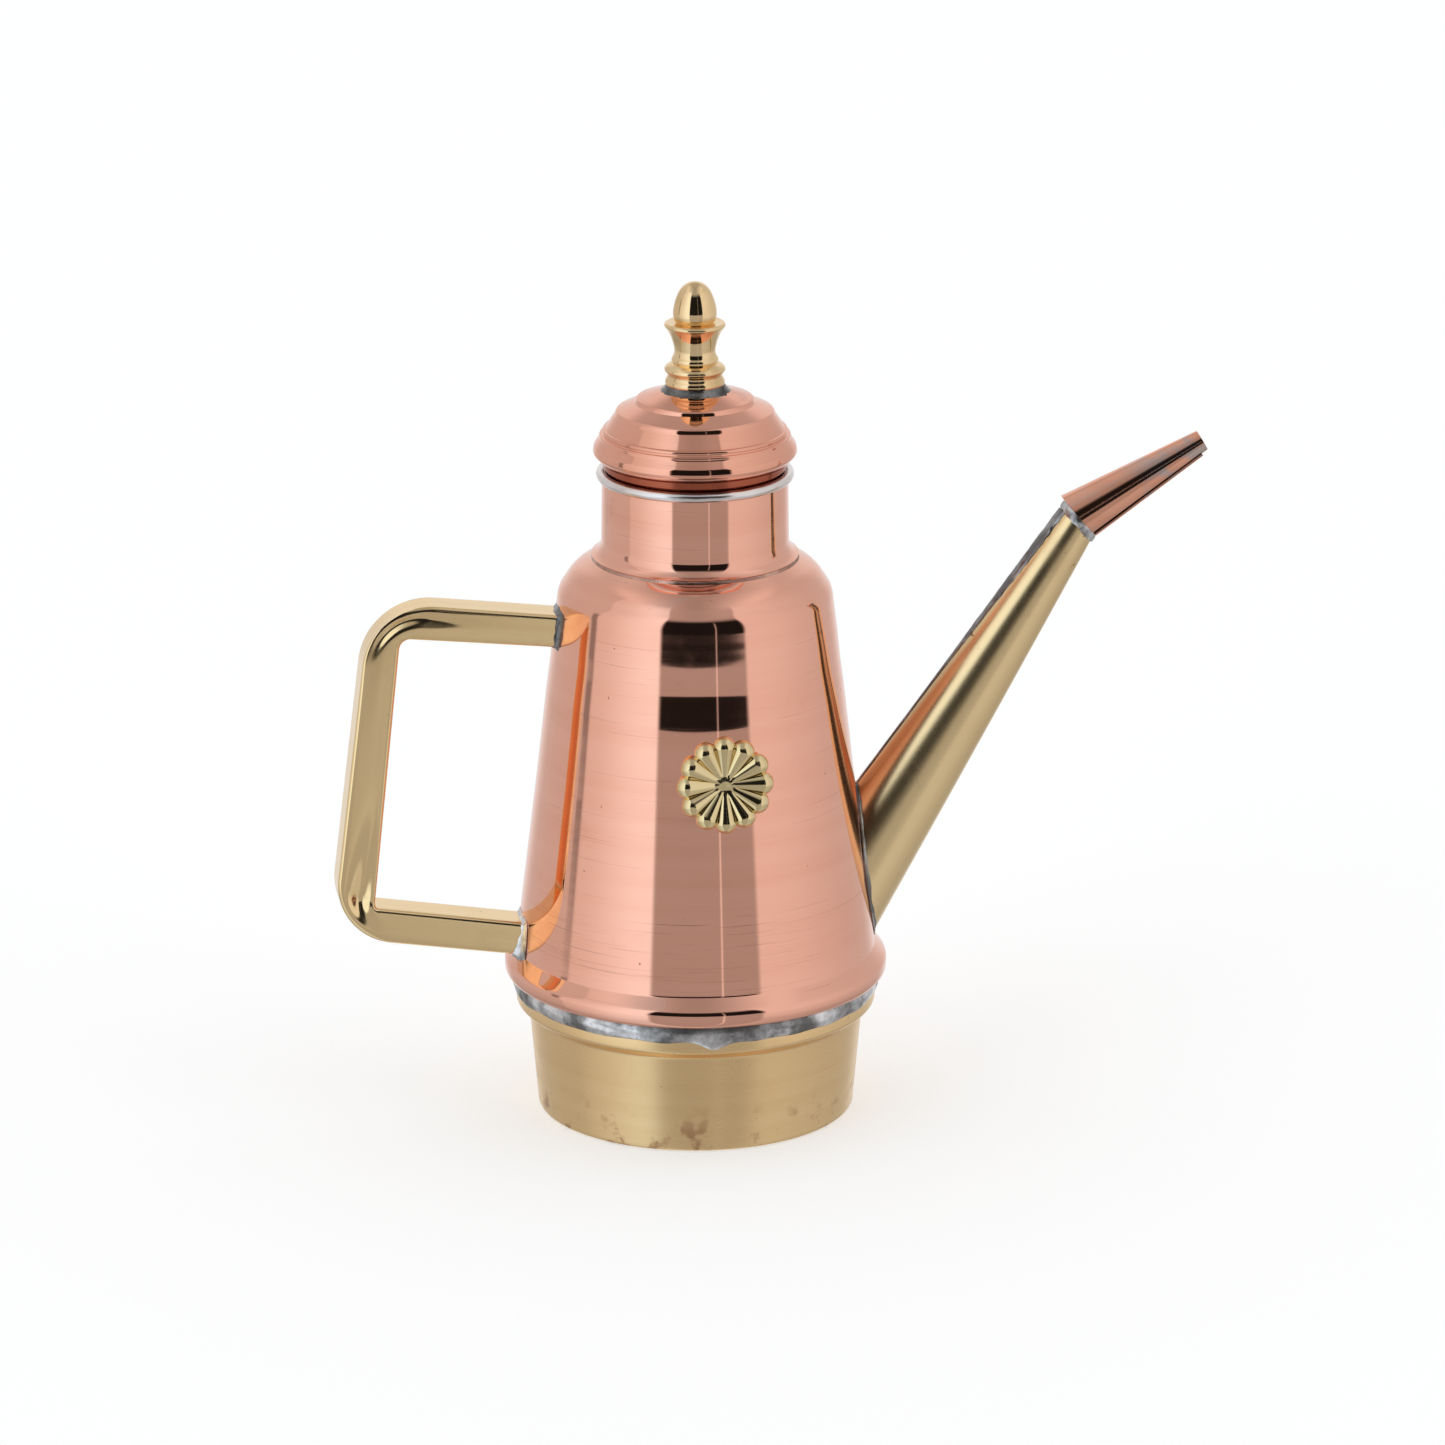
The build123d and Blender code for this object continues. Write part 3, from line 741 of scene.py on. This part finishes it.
handleShape = {
    "outer": ((-30.0, 145.8), (-92.2, 153.1), (-104.2, 55.4), (-35.0, 45.2)),
    "outerBends": (19.5, 17.5),
    "inner": ((-30.0, 136.6), (-83.8, 142.1), (-92.0, 63.6), (-35.0, 54.8)),
    "innerBends": (3.0, 1.5),
    "width": 11.8,
    "edge": 1.2,
    "sink": 0.4,
    "counts": (40, 44, 60, 44, 40),  # steps along arm, bend, grip, bend, arm
    # hollows in the cheeks: depth, which bend, place and reach along it, level, slant and width across it
    "hollows": ((1.5, 0, 0.42, 0.46, 0.42, 0.3, 0.34), (1.8, 1, 0.15, 0.36, -0.18, 0.6, 0.44)),
    # bevels towards the outside of the bends: depth, which bend, place and reach along it
    "bevels": ((1.1, 0, 0.42, 0.55), (0.7, 1, 0.70, 0.50)),
    "bevelFrom": 0.62,
}


def bentLine(corners, bends, counts):
    # arm, arc, arm, arc, arm, each with its own count of even steps
    corners = np.array(corners, float)
    stops, pieces = [corners[0]], []
    for before, here, after, radius in zip(corners, corners[1:], corners[2:], bends):
        goingIn = (here - before) / np.linalg.norm(here - before)
        goingOut = (after - here) / np.linalg.norm(after - here)
        turn = acos(goingIn @ goingOut)
        side = goingOut - goingIn * cos(turn)
        side /= np.linalg.norm(side)
        start = here - goingIn * radius * tan(turn / 2)
        stops.append((start, goingIn, side, radius, turn))
    here = corners[0]
    for (start, goingIn, side, radius, turn), armCount, arcCount in zip(stops[1:], counts[::2], counts[1::2]):
        pieces.append(here + np.arange(armCount)[:, None] / armCount * (start - here))
        sweep = np.arange(arcCount)[:, None] / arcCount * turn
        pieces.append(start + side * radius * (1 - np.cos(sweep)) + goingIn * radius * np.sin(sweep))
        here = start + side * radius * (1 - cos(turn)) + goingIn * radius * sin(turn)
    pieces.append(here + np.linspace(0, 1, counts[-1])[:, None] * (corners[-1] - here))
    return np.vstack(pieces)


def ringOfSection(half, edge):
    # a rounded rectangle as multipliers: corner places (-1 to 1) and the edge's cos and sin
    quarter = np.linspace(0, pi / 2, 6)
    run = np.linspace(-1, 1, 14)[1:-1]
    tall, wide, bend = [], [], []
    for k, (a, b) in enumerate(((1, 1), (-1, 1), (-1, -1), (1, -1))):
        tall += [np.full(6, a)]
        wide += [np.full(6, b)]
        bend += [quarter + k * pi / 2]
        tall += [-a * run if k in (0, 2) else np.full(12, a)]
        wide += [np.full(12, b) if k in (0, 2) else -b * run]
        bend += [np.full(12, (k + 1) * pi / 2)]
    return np.concatenate(tall), np.concatenate(wide), np.concatenate(bend)


def makeHandle(shape):
    # section centre half way between the outer and inner lines, one edge of it along their joining line
    counts = shape["counts"]
    outer = bentLine(shape["outer"], shape["outerBends"], counts)
    inner = bentLine(shape["inner"], shape["innerBends"], counts)
    centre, span = (outer + inner) / 2, outer - inner
    tallness = np.linalg.norm(span, axis=1)[:, None]
    out = span / tallness
    tall, wide, bend = ringOfSection(shape["width"] / 2, shape["edge"])
    edge = shape["edge"]
    rise = tall * (tallness / 2 - edge) + edge * np.cos(bend)
    side = wide * (shape["width"] / 2 - edge) + edge * np.sin(bend) + 0 * rise
    # dents beside each bend: leaf-shaped hollows in the cheeks, and bevels towards the outside
    count = len(outer)
    level = rise / (tallness / 2)
    cheek = np.abs(np.sin(bend) * wide)
    begins, lengths = (counts[0], sum(counts[:3])), (counts[1], counts[3])
    along = [(np.arange(count)[:, None] - begin) / length for begin, length in zip(begins, lengths)]
    dent = 0
    for depth, which, place, reach, middle, slant, width in shape["hollows"]:
        away = along[which] - place
        dent += depth * bell(away / reach) * bell((level - middle - slant * away) / width)
    outside = np.clip((level - shape["bevelFrom"]) / (1 - shape["bevelFrom"]), 0, 1)
    for depth, which, place, reach in shape["bevels"]:
        dent += depth * bell((along[which] - place) / reach) * outside
    x = centre[:, :1] + out[:, :1] * rise
    z = centre[:, 1:] + out[:, 1:] * rise
    # each line of the two straight arms is cut back to where it crosses the cone, a little inside it
    for end, turn in ((0, counts[0] - 1), (count - 1, count - counts[-1])):
        share = np.abs(np.arange(count) - end)[:, None] / abs(turn - end)
        low, high = np.zeros(side.shape[1]), np.ones(side.shape[1])
        for _ in range(30):
            half = (low + high) / 2
            reach = x[end] + half * (x[turn] - x[end])
            height = z[end] + half * (z[turn] - z[end])
            outside = np.hypot(reach, side[end]) > coneRadius(height) - shape["sink"]
            low, high = np.where(outside, low, half), np.where(outside, half, high)
        arm = share[:, 0] <= 1
        place = low + (1 - low) * share[arm]
        x[arm] = x[end] + place * (x[turn] - x[end])
        z[arm] = z[end] + place * (z[turn] - z[end])
    side = side - np.sign(side) * dent * cheek
    grid = np.stack([x, side, z], -1)
    poles = [grid[k].mean(0)[None, None] + np.zeros((1, grid.shape[1], 3)) for k in (0, -1)]
    grid = np.concatenate([poles[0], grid, poles[1]])
    along = np.concatenate([[0], np.cumsum(np.linalg.norm(np.diff(centre, axis=0), axis=1))])
    around = np.concatenate([[0], np.cumsum(np.hypot(np.diff(rise[0]), np.diff(side[0])))])
    places = np.stack(np.meshgrid(along, around, indexing="ij"), -1).reshape(-1, 2)
    places = np.vstack([places, places[:1], places[-1:]])
    makePiece("handleTube", grid, "ball", "can", ["handle"], handleBrass, places)
    return grid


handleGrid = makeHandle(handleShape)


def onCone(points, lift):
    # points moved level towards or away from the axis, to stand off the cone by the lift
    turn = np.arctan2(points[:, 1], points[:, 0])
    radius = coneRadius(points[:, 2]) + lift
    return np.stack([radius * np.cos(turn), radius * np.sin(turn), points[:, 2]], 1)


def solderFillet(name, foot, climb, outward, climbBy, spreadBy, fullness, node, material, steps=12):
    # cross-section: a bent curve from the tube, pulled part of the way to the joint, to the cone,
    # (1-s)^2 * high + 2s(1-s) * pull + s^2 * wide, closed behind by points inside the metal
    high = foot + climb * climbBy[:, None]
    wide = onCone(foot + outward * spreadBy[:, None], 0.03)
    pull = foot * (1 - fullness) + (high + wide) / 2 * fullness
    share = np.linspace(0, 1, steps)[:, None, None]
    curve = (1 - share) ** 2 * high + 2 * share * (1 - share) * pull + share**2 * wide
    axis = foot.mean(0)
    behind = [onCone(foot + outward * spreadBy[:, None] * 0.9, -0.5), foot + (axis - foot) * 0.12]
    behind.append(high + (axis + climb * climbBy.mean() - high) * 0.10)
    lift = lumps(share[:, :, 0] * 2, fullTurn(len(foot)), 0.14)
    push = curve - (foot - outward * 2)
    push /= np.linalg.norm(push, axis=2)[:, :, None]
    grid = np.concatenate([curve + push * lift[:, :, None] * np.sin(pi * share), np.array(behind)])
    makePiece(name, grid, "ring", "can", [node], material)


jointShape = {
    # even size, then size, direction and width of each lobe; a direction is measured in the joint's
    # plane from +Y (the back) towards +Z (up), so that the front is 180 degrees
    "handleTopSolder": ((1.0, (1.2, 120, 35), (0.3, 190, 60)), (1.2, (0.6, 110, 40))),
    "handleLowSolder": ((0.9, (1.6, 225, 32)), (1.4, (3.4, 225, 30), (1.2, 180, 40))),
    "rough": 0.5,
    "fullness": 0.35,
}


def handleJoint(name, ring, node, material):
    # ring is the tube's section at the cone; outward is the section's own normal, level with the cone
    foot = onCone(ring, 0.02)
    away = foot - foot.mean(0)
    turn = np.arctan2(away[:, 2], away[:, 1])
    outward = away * (0, 1, 1)
    outward /= np.linalg.norm(outward, axis=1)[:, None]
    climb = np.array([-1.0, 0, 0])
    climbBy, spreadBy = (
        lobed(turn, *size) + waves(turn, range(3, 14), jointShape["rough"]) for size in jointShape[name]
    )
    solderFillet(name, foot, climb, outward, climbBy, spreadBy, jointShape["fullness"], node, material)


handleJoint("handleTopSolder", handleGrid[1], "handle_upper_solder", darkSolder)
handleJoint("handleLowSolder", handleGrid[-2], "handle_lower_solder", solder)
print("handle")

spoutShape = {
    "angle": 57.35,
    "start": (35.8, 52.25),
    "startHalf": (15.4, 13.0),
    "endHalf": (5.85, 5.8),
    "length": 137.0,
    "elbow": (109.1, 168.0),
    "elbowAngle": 41.0,
    "elbowGap": 0.03,
    "wall": 1.0,
    "sink": 0.4,
    "flats": ((3, 0.10, 0.6), (5, 0.06, 2.0)),  # how many round the tube, depth and place
    "sheet": 9.0,  # mean radius, for the sheet's width
}


def risingAt(angle):
    # unit direction in the XZ plane
    return np.array([cos(radians(angle)), 0, sin(radians(angle))])


spoutAlong = risingAt(spoutShape["angle"])
spoutDown = risingAt(spoutShape["angle"] - 90)
elbowNormal = risingAt(spoutShape["elbowAngle"])
elbowPoint = np.array([spoutShape["elbow"][0], 0, spoutShape["elbow"][1]])
nearSide = np.array([0, 1.0, 0])


def spoutSide(turn):
    # direction from the spout's line to its skin: turn 0 is underneath and half a turn is on top
    turn = np.asarray(turn)[..., None]
    return np.cos(turn) * spoutDown + np.sin(turn) * nearSide


def spoutPoint(share, turn, grow=0.0):
    # a shrinking ellipse carried along the spout's line
    low, high = np.array(spoutShape["startHalf"]), np.array(spoutShape["endHalf"])
    start = np.array([spoutShape["start"][0], 0, spoutShape["start"][1]])
    share, turn, grow = (np.asarray(value)[..., None] for value in (share, turn, grow))
    half = low + share * (high - low) + grow
    section = half[..., :1] * np.cos(turn) * spoutDown + half[..., 1:] * np.sin(turn) * nearSide
    return start + share * spoutShape["length"] * spoutAlong + section


def rootShare(turn, grow=0.0):
    # how far along each line of the spout meets the cone, by halving the range again and again
    low, high = np.zeros_like(turn), np.full_like(turn, 0.9)
    for _ in range(40):
        half = (low + high) / 2
        point = spoutPoint(half, turn, grow)
        outside = np.hypot(point[..., 0], point[..., 1]) > coneRadius(point[..., 2])
        low, high = np.where(outside, low, half), np.where(outside, half, high)
    return (low + high) / 2


def elbowShare(turn, grow=0.0, back=0.0):
    # each line of the spout crossed with the elbow's plane, the plane moved back along its normal
    first, last = spoutPoint(0 * turn, turn, grow), spoutPoint(0 * turn + 1, turn, grow)
    ahead = (elbowPoint - elbowNormal * np.asarray(back)[..., None] - first) @ elbowNormal
    return ahead / ((last - first) @ elbowNormal)


spoutTurn = fullTurn(192)


def makeSpout(shape):
    rows = np.linspace(0, 1, 90)
    share = rows[:, None]
    skins = []
    for grow in (0.0, -shape["wall"]):
        root = rootShare(spoutTurn, grow) - shape["sink"] / shape["length"]
        end = elbowShare(spoutTurn, grow, shape["elbowGap"])
        skins.append(spoutPoint(root + share * (end - root), spoutTurn + 0 * share, grow))
    # hand-rolled sheet is never quite straight: shallow flats run along it and fade at both ends
    flats = sum(deep * np.cos(count * spoutTurn + place) for count, deep, place in shape["flats"])
    skins[0] = skins[0] + spoutSide(spoutTurn) * flats[:, None] * np.sin(pi * share)[..., None]
    grid = np.concatenate([skins[0], skins[1][::-1]])
    along = np.concatenate([rows, rows[::-1]]) * shape["length"]
    places = np.stack(np.meshgrid(along, spoutTurn * shape["sheet"], indexing="ij"), -1)
    makePiece("spoutTube", grid, "ring", "can", ["spout_tube"], spoutBrass, places)


makeSpout(spoutShape)


runShape = {
    "climb": 1.1,
    "spread": (1.5, (0.8, 0, 40)),
    "rough": (0.6, 0.7),
    "fullness": 0.3,
    "seamWidth": (0.6, 1.7),  # half width near the root, and what it gains towards the elbow
    "seamHeight": (0.32, 0.30),
    "seamWiden": (0.35, 0.85),
    "seamShort": 2.5,
    # distance back from the elbow, and height over the tube
    "band": ((2.4, 0.0), (2.2, 0.35), (1.5, 0.62), (0.7, 0.66), (0.08, 0.6), (0.08, -0.2), (2.4, -0.2)),
}


def makeRootSolder(shape):
    # a thin fillet all round, heavier at the bottom and rough on the near side
    foot = spoutPoint(rootShare(spoutTurn), spoutTurn)
    climbRough, spreadRough = shape["rough"]
    climbBy = shape["climb"] + waves(spoutTurn, range(3, 20), climbRough)
    spreadBy = lobed(spoutTurn, *shape["spread"]) + waves(spoutTurn, range(3, 20), spreadRough)
    solderFillet(
        "spoutRootSolder", foot, spoutAlong, spoutSide(spoutTurn), climbBy, spreadBy, shape["fullness"],
        "spout_root_solder", darkSolder,
    )


def makeSeamSolder(shape):
    # a lens-shaped strip along the top, narrow near the root and wide and rough near the elbow
    rows, columns = 150, 17
    share = np.linspace(0, 1, rows)
    first = rootShare(np.array([pi]))[0] + 0.004
    last = elbowShare(np.array([pi]), 0, shape["seamShort"])[0]
    place = first + share * (last - first)
    widenFrom, widenTo = shape["seamWiden"]
    widen = np.clip((share - widenFrom) / (widenTo - widenFrom), 0, 1)
    low, high = spoutShape["startHalf"][1], spoutShape["endHalf"][1]
    width, gain = shape["seamWidth"]
    rough = waves(share * 2 * pi, range(5, 40), 0.7) * (0.3 + widen)
    halfWidth = (width + gain * widen + rough) / (low + place * (high - low))
    across = np.linspace(-1, 1, columns)
    widen = widen[:, None]
    turn = pi + 0.10 * widen + halfWidth[:, None] * across
    height, rise = shape["seamHeight"]
    swell = np.sqrt(1 - 0.92 * across**2) * (height + rise * widen)
    swell = swell + lumps(share[:, None] * 9, across, 0.10) * (0.3 + widen)
    place = place[:, None] + 0 * turn
    top, under = spoutPoint(place, turn, np.maximum(swell, 0.08)), spoutPoint(place, turn, -0.25)
    grid = np.concatenate([top, under[::-1]])
    makePiece("spoutSeamSolder", grid, "strip", "can", ["spout_seam_solder"], darkSolder)


def makeTipSolder(shape):
    # a low uneven band where the tube enters the copper
    band = []
    for back, grow in shape["band"]:
        uneven = waves(spoutTurn, range(3, 16), 0.5) * (back > 1)
        grown = grow + (waves(spoutTurn, range(3, 16), 0.12) if grow > 0.3 else 0)
        band.append(spoutPoint(elbowShare(spoutTurn, grow, back + uneven), spoutTurn, grown))
    makePiece("spoutTipSolder", np.array(band), "ring", "can", ["spout_tip_solder"], solder)


makeRootSolder(runShape)
makeSeamSolder(runShape)
makeTipSolder(runShape)

tipShape = {
    "angle": 30.0,
    "length": 40.7,
    "radius": 7.1,
    "mouth": 3.1,
    "wall": 0.6,
    "lap": 0.67,
    "lapStart": -35.0,
    "lapArc": 70.0,
    "lapEase": 25.0,
    "lapShort": 2.0,
    "elbowGap": 0.03,
}


def makeTip(shape):
    # a cone rolled from one sheet: the radius grows by the lap over one turn, where the sheet passes itself
    along, upward = risingAt(shape["angle"]), risingAt(shape["angle"] + 90)
    turn = np.radians(np.linspace(shape["lapStart"], shape["lapStart"] + 360 + shape["lapArc"], 260))
    ease = radians(shape["lapEase"])
    lift = shape["lap"] * stepUp(turn - turn[0] - 2 * pi, -ease, 0)
    short = np.where(turn - turn[0] - 2 * pi > -ease / 2, shape["lapShort"], 0.0)
    taper = (shape["mouth"] - shape["radius"]) / shape["length"]
    share = np.linspace(0, 1, 60)[:, None]
    section = -np.cos(turn)[:, None] * upward - np.sin(turn)[:, None] * nearSide
    skins = []
    for inward in (0.0, shape["wall"]):
        start = shape["radius"] - inward + lift
        # turn 0 is underneath; the mitre is where the line meets the elbow's plane
        rise = -np.cos(turn) * (upward @ elbowNormal)
        begin = -start * rise / (along @ elbowNormal + taper * rise) + shape["elbowGap"]
        distance = begin + share * (shape["length"] - short - begin)
        radius = start + taper * distance
        skins.append(elbowPoint + distance[..., None] * along + radius[..., None] * section)
    grid = np.concatenate([skins[0], skins[1][::-1]])
    makePiece("spoutTip", grid, "strip", "can", ["spout_tip"], tipCopper)


makeTip(tipShape)
print("spout")

solderShape = {
    "foot": 51.02,
    "footTop": 39.0,
    "footLow": (34.5, (-1.9, -93, 4.5)),  # its lower edge, and a drip
    "bulge": 0.95,
    "skin": 0.06,
    "inset": 0.3,
    "neck": ((-0.90, -0.15, 0), (-0.70, -0.35, 0.3), (-0.42, -1.0, 0.6), (-0.7, -0.95, 0.2), (-1.0, -0.6, 0)),
    "collar": 8.05,
    "collarWide": (10.3, (1.0, -60, 50)),
    "collarTop": (211.7, (0.5, -10, 40)),
    "lidSlope": ((8.0, 16.3), (209.5, 206.9)),  # heights of the lid at two radii
    "under": ((9.0, 209.0), (2.6, 209.6), (2.6, 210.45), (7.8, 210.45)),
}


def makeSolderRings(shape):
    turn = fullTurn(480)
    # foot: an uneven run under the bead; its lower edge wanders and its face is lumpy
    low = lobed(turn, *shape["footLow"]) + waves(turn, range(2, 30), 1.0)
    share = np.linspace(0, 1, 16)[:, None]
    height = low + share * (shape["footTop"] - low)
    bulge = shape["skin"] + shape["bulge"] * np.sin(pi * share * 0.80) ** 0.7
    bulge = bulge + lumps(share * 1.5, turn, 0.16) * np.sin(pi * share * 0.9)
    rows = [*aroundAxis(shape["foot"] + np.maximum(bulge, 0.04), turn, height)]
    rows += [aroundAxis(shape["foot"] - shape["inset"], turn, level) for level in (shape["footTop"], low)]
    makePiece("footSolder", np.array(rows), "ring", "can", ["foot_solder"], solder)
    # neck: a hair-thin fillet on the shoulder
    edge = cornerOf("neck_solder", 1)
    uneven = waves(turn, range(3, 30), 0.2) - 0.25
    rows = []
    for out, drop, spread in shape["neck"]:
        radius = edge[0] + out + spread * uneven
        rows.append(aroundAxis(radius, turn, edge[2] + drop - spread * uneven * 0.6))
    makePiece("neckSolder", np.array(rows), "ring", "can", ["neck_solder"], warmSolder)
    # collar under the finial: lowest at the front right, climbing the finial's base at the right
    wide = lobed(turn, *shape["collarWide"]) + waves(turn, range(2, 16), 0.7)
    top = lobed(turn, *shape["collarTop"]) + waves(turn, range(2, 16), 0.4)
    lidTop = np.interp(wide, *shape["lidSlope"])
    share = np.linspace(0, 1, 12)[:, None]
    radius = shape["collar"] + share**1.6 * (wide - shape["collar"])
    height = top + share * (lidTop - 0.05 - top) - 0.8 * np.sin(pi * share) * (top - lidTop) / 4
    height = height + lumps(share * 2, turn, 0.10) * np.sin(pi * share)
    rows = [*aroundAxis(radius, turn, height)]
    rows += [aroundAxis(inner, turn, level) for inner, level in shape["under"]]
    makePiece("finialSolder", np.array(rows), "ring", "lid", ["finial_solder"], collarSolder)


makeSolderRings(solderShape)
print("solder")

viewShape = {
    "azimuth": -9.0, "elevation": 17.3, "target": (0.00756, -0.00120, 0.11217), "distance": 2.252,
    "lens": 199.3, "sensor": 36.0,
}


def makeCamera(shape):
    azimuth, elevation = radians(shape["azimuth"]), radians(shape["elevation"])
    back = Vector((sin(azimuth) * cos(elevation), -cos(azimuth) * cos(elevation), sin(elevation)))
    camera = bpy.data.objects.new("camera", bpy.data.cameras.new("camera"))
    bpy.context.collection.objects.link(camera)
    camera.location = Vector(shape["target"]) + back * shape["distance"]
    camera.rotation_mode = "QUATERNION"
    camera.rotation_quaternion = (-back).to_track_quat("-Z", "Y")
    camera.data.lens = shape["lens"]
    camera.data.sensor_width = shape["sensor"]
    camera.data.clip_end = 50
    bpy.context.scene.camera = camera


makeCamera(viewShape)

studioShape = {
    "left": (-87, -27.5), "leftLight": (0.78, 1.12), "leftTint": (0.95, 1.06, 1.14, 1),
    "right": (41, 130), "rightLight": 0.84, "sides": 0.64,
    "strip": 0.44, "black": (-3.6, 42.0), "blackLight": 0.0, "overhead": (44, 58, 0.40, 0.55),
    "edge": (-94, -88, 0.30), "back": 0.48, "backLow": 0.84, "slit": (16.65, 17.75, 0.42),
    "floor": 0.95, "floorGlow": 0.42, "backdrop": 1.0,
}


def makeSky(shape):
    # light by direction: an angle round from the viewing side and an angle up, both in degrees
    world = bpy.data.worlds.new("studio")
    bpy.context.scene.world = world
    world.use_nodes = True
    bench = Bench(world.node_tree)
    azimuth = radians(viewShape["azimuth"])
    heading = bench.node("ShaderNodeTexCoord", {}, {}, "Generated")
    x = bench.part(heading, "X")
    y = bench.part(heading, "Y")
    z = bench.part(heading, "Z")
    toward = x * sin(azimuth) - y * cos(azimuth)
    aside = x * cos(azimuth) + y * sin(azimuth)
    angle = aside.sum("ARCTAN2", aside, toward) * degrees(1)
    up = z.sum("ARCSINE", z, 0.0) * degrees(1)
    (leftFrom, leftTo), (rightFrom, rightTo) = shape["left"], shape["right"]
    left = bench.band(angle, leftFrom, leftTo, 2.0)
    right = bench.smooth(angle, rightFrom - 2, rightFrom + 2)
    right = right * (1 - bench.smooth(angle, rightFrom + 4, rightTo))
    ramp = bench.smooth(angle, leftFrom, leftTo - 6)
    low, high = shape["leftLight"]
    light = shape["sides"] + left * (low + ramp * (high - low) - shape["sides"])
    light = light + right * (shape["rightLight"] - shape["sides"])
    # a narrow dark stand at the left light's far edge
    edgeFrom, edgeTo, edgeLight = shape["edge"]
    edge = bench.band(angle, edgeFrom, edgeTo, 1.2) * bench.smooth(up, -10, -8)
    edge = edge * (1 - bench.smooth(up, 10, 20))
    light = light + (edgeLight - light) * edge
    light = light * (1 - bench.smooth(0 - up, 12, 30) * 0.30)
    # the dark strip in front: nearly black above its lower edge
    strip = bench.band(angle, leftTo, rightFrom, 2.0)
    blackLow, blackHigh = shape["black"]
    black = bench.smooth(up, blackLow - 0.1, blackLow + 0.1)
    black = black * (1 - bench.smooth(up, blackHigh - 8, blackHigh + 8))
    dim = shape["strip"] + black * (shape["blackLight"] - shape["strip"])
    light = light + (dim - light) * strip * 0.98
    # overhead: dim in the middle and lighter to both sides
    overFrom, overTo, overLow, overGain = shape["overhead"]
    over = overLow + bench.smooth(aside.sum("ABSOLUTE", aside, 0.0), 0.02, 0.75) * overGain
    light = light + (over - light) * bench.smooth(up, overFrom, overTo)
    # behind: bright near the horizon and dimmer above
    behind = bench.smooth(aside.sum("ABSOLUTE", angle, 0.0), 140, 165)
    back = shape["backLow"] + bench.smooth(up, 28, 44) * (shape["back"] - shape["backLow"])
    light = light + (back - light) * behind
    slitFrom, slitTo, slitLight = shape["slit"]
    slit = bench.band(angle, slitFrom, slitTo, 0.35) * (1 - bench.smooth(up, 26, 40))
    light = light + slit * slitLight
    eye = bench.node("ShaderNodeLightPath", {}, {}, "Is Camera Ray")
    light = light + (shape["backdrop"] - light) * eye
    tone = bench.tint(left * ramp * (1 - eye), (1, 1, 1, 1), shape["leftTint"])
    ground = next(n for n in world.node_tree.nodes if n.type == "BACKGROUND")
    bench.tree.links.new(tone.socket, ground.inputs["Color"])
    bench.tree.links.new(light.socket, ground.inputs["Strength"])


makeSky(studioShape)


def makeFloor(shape):
    half = 3.0
    mesh = bpy.data.meshes.new("floor")
    corners = [(-half, -half, 0), (half, -half, 0), (half, half, 0), (-half, half, 0)]
    mesh.from_pydata(corners, [], [(0, 1, 2, 3)])
    floor = bpy.data.objects.new("floor", mesh)
    bpy.context.collection.objects.link(floor)
    material = bpy.data.materials.new("floorPaper")
    material.use_nodes = True
    paper = next(n for n in material.node_tree.nodes if n.type == "BSDF_PRINCIPLED")
    paper.inputs["Base Color"].default_value = (shape["floor"], shape["floor"], shape["floor"], 1)
    paper.inputs["Roughness"].default_value = 1.0
    paper.inputs["Specular IOR Level"].default_value = 0.0
    paper.inputs["Emission Color"].default_value = (1, 1, 1, 1)
    paper.inputs["Emission Strength"].default_value = shape["floorGlow"]
    mesh.materials.append(material)
    floor.visible_glossy = False


makeFloor(studioShape)

bpy.context.scene.view_settings.view_transform = "Standard"
print("studio")
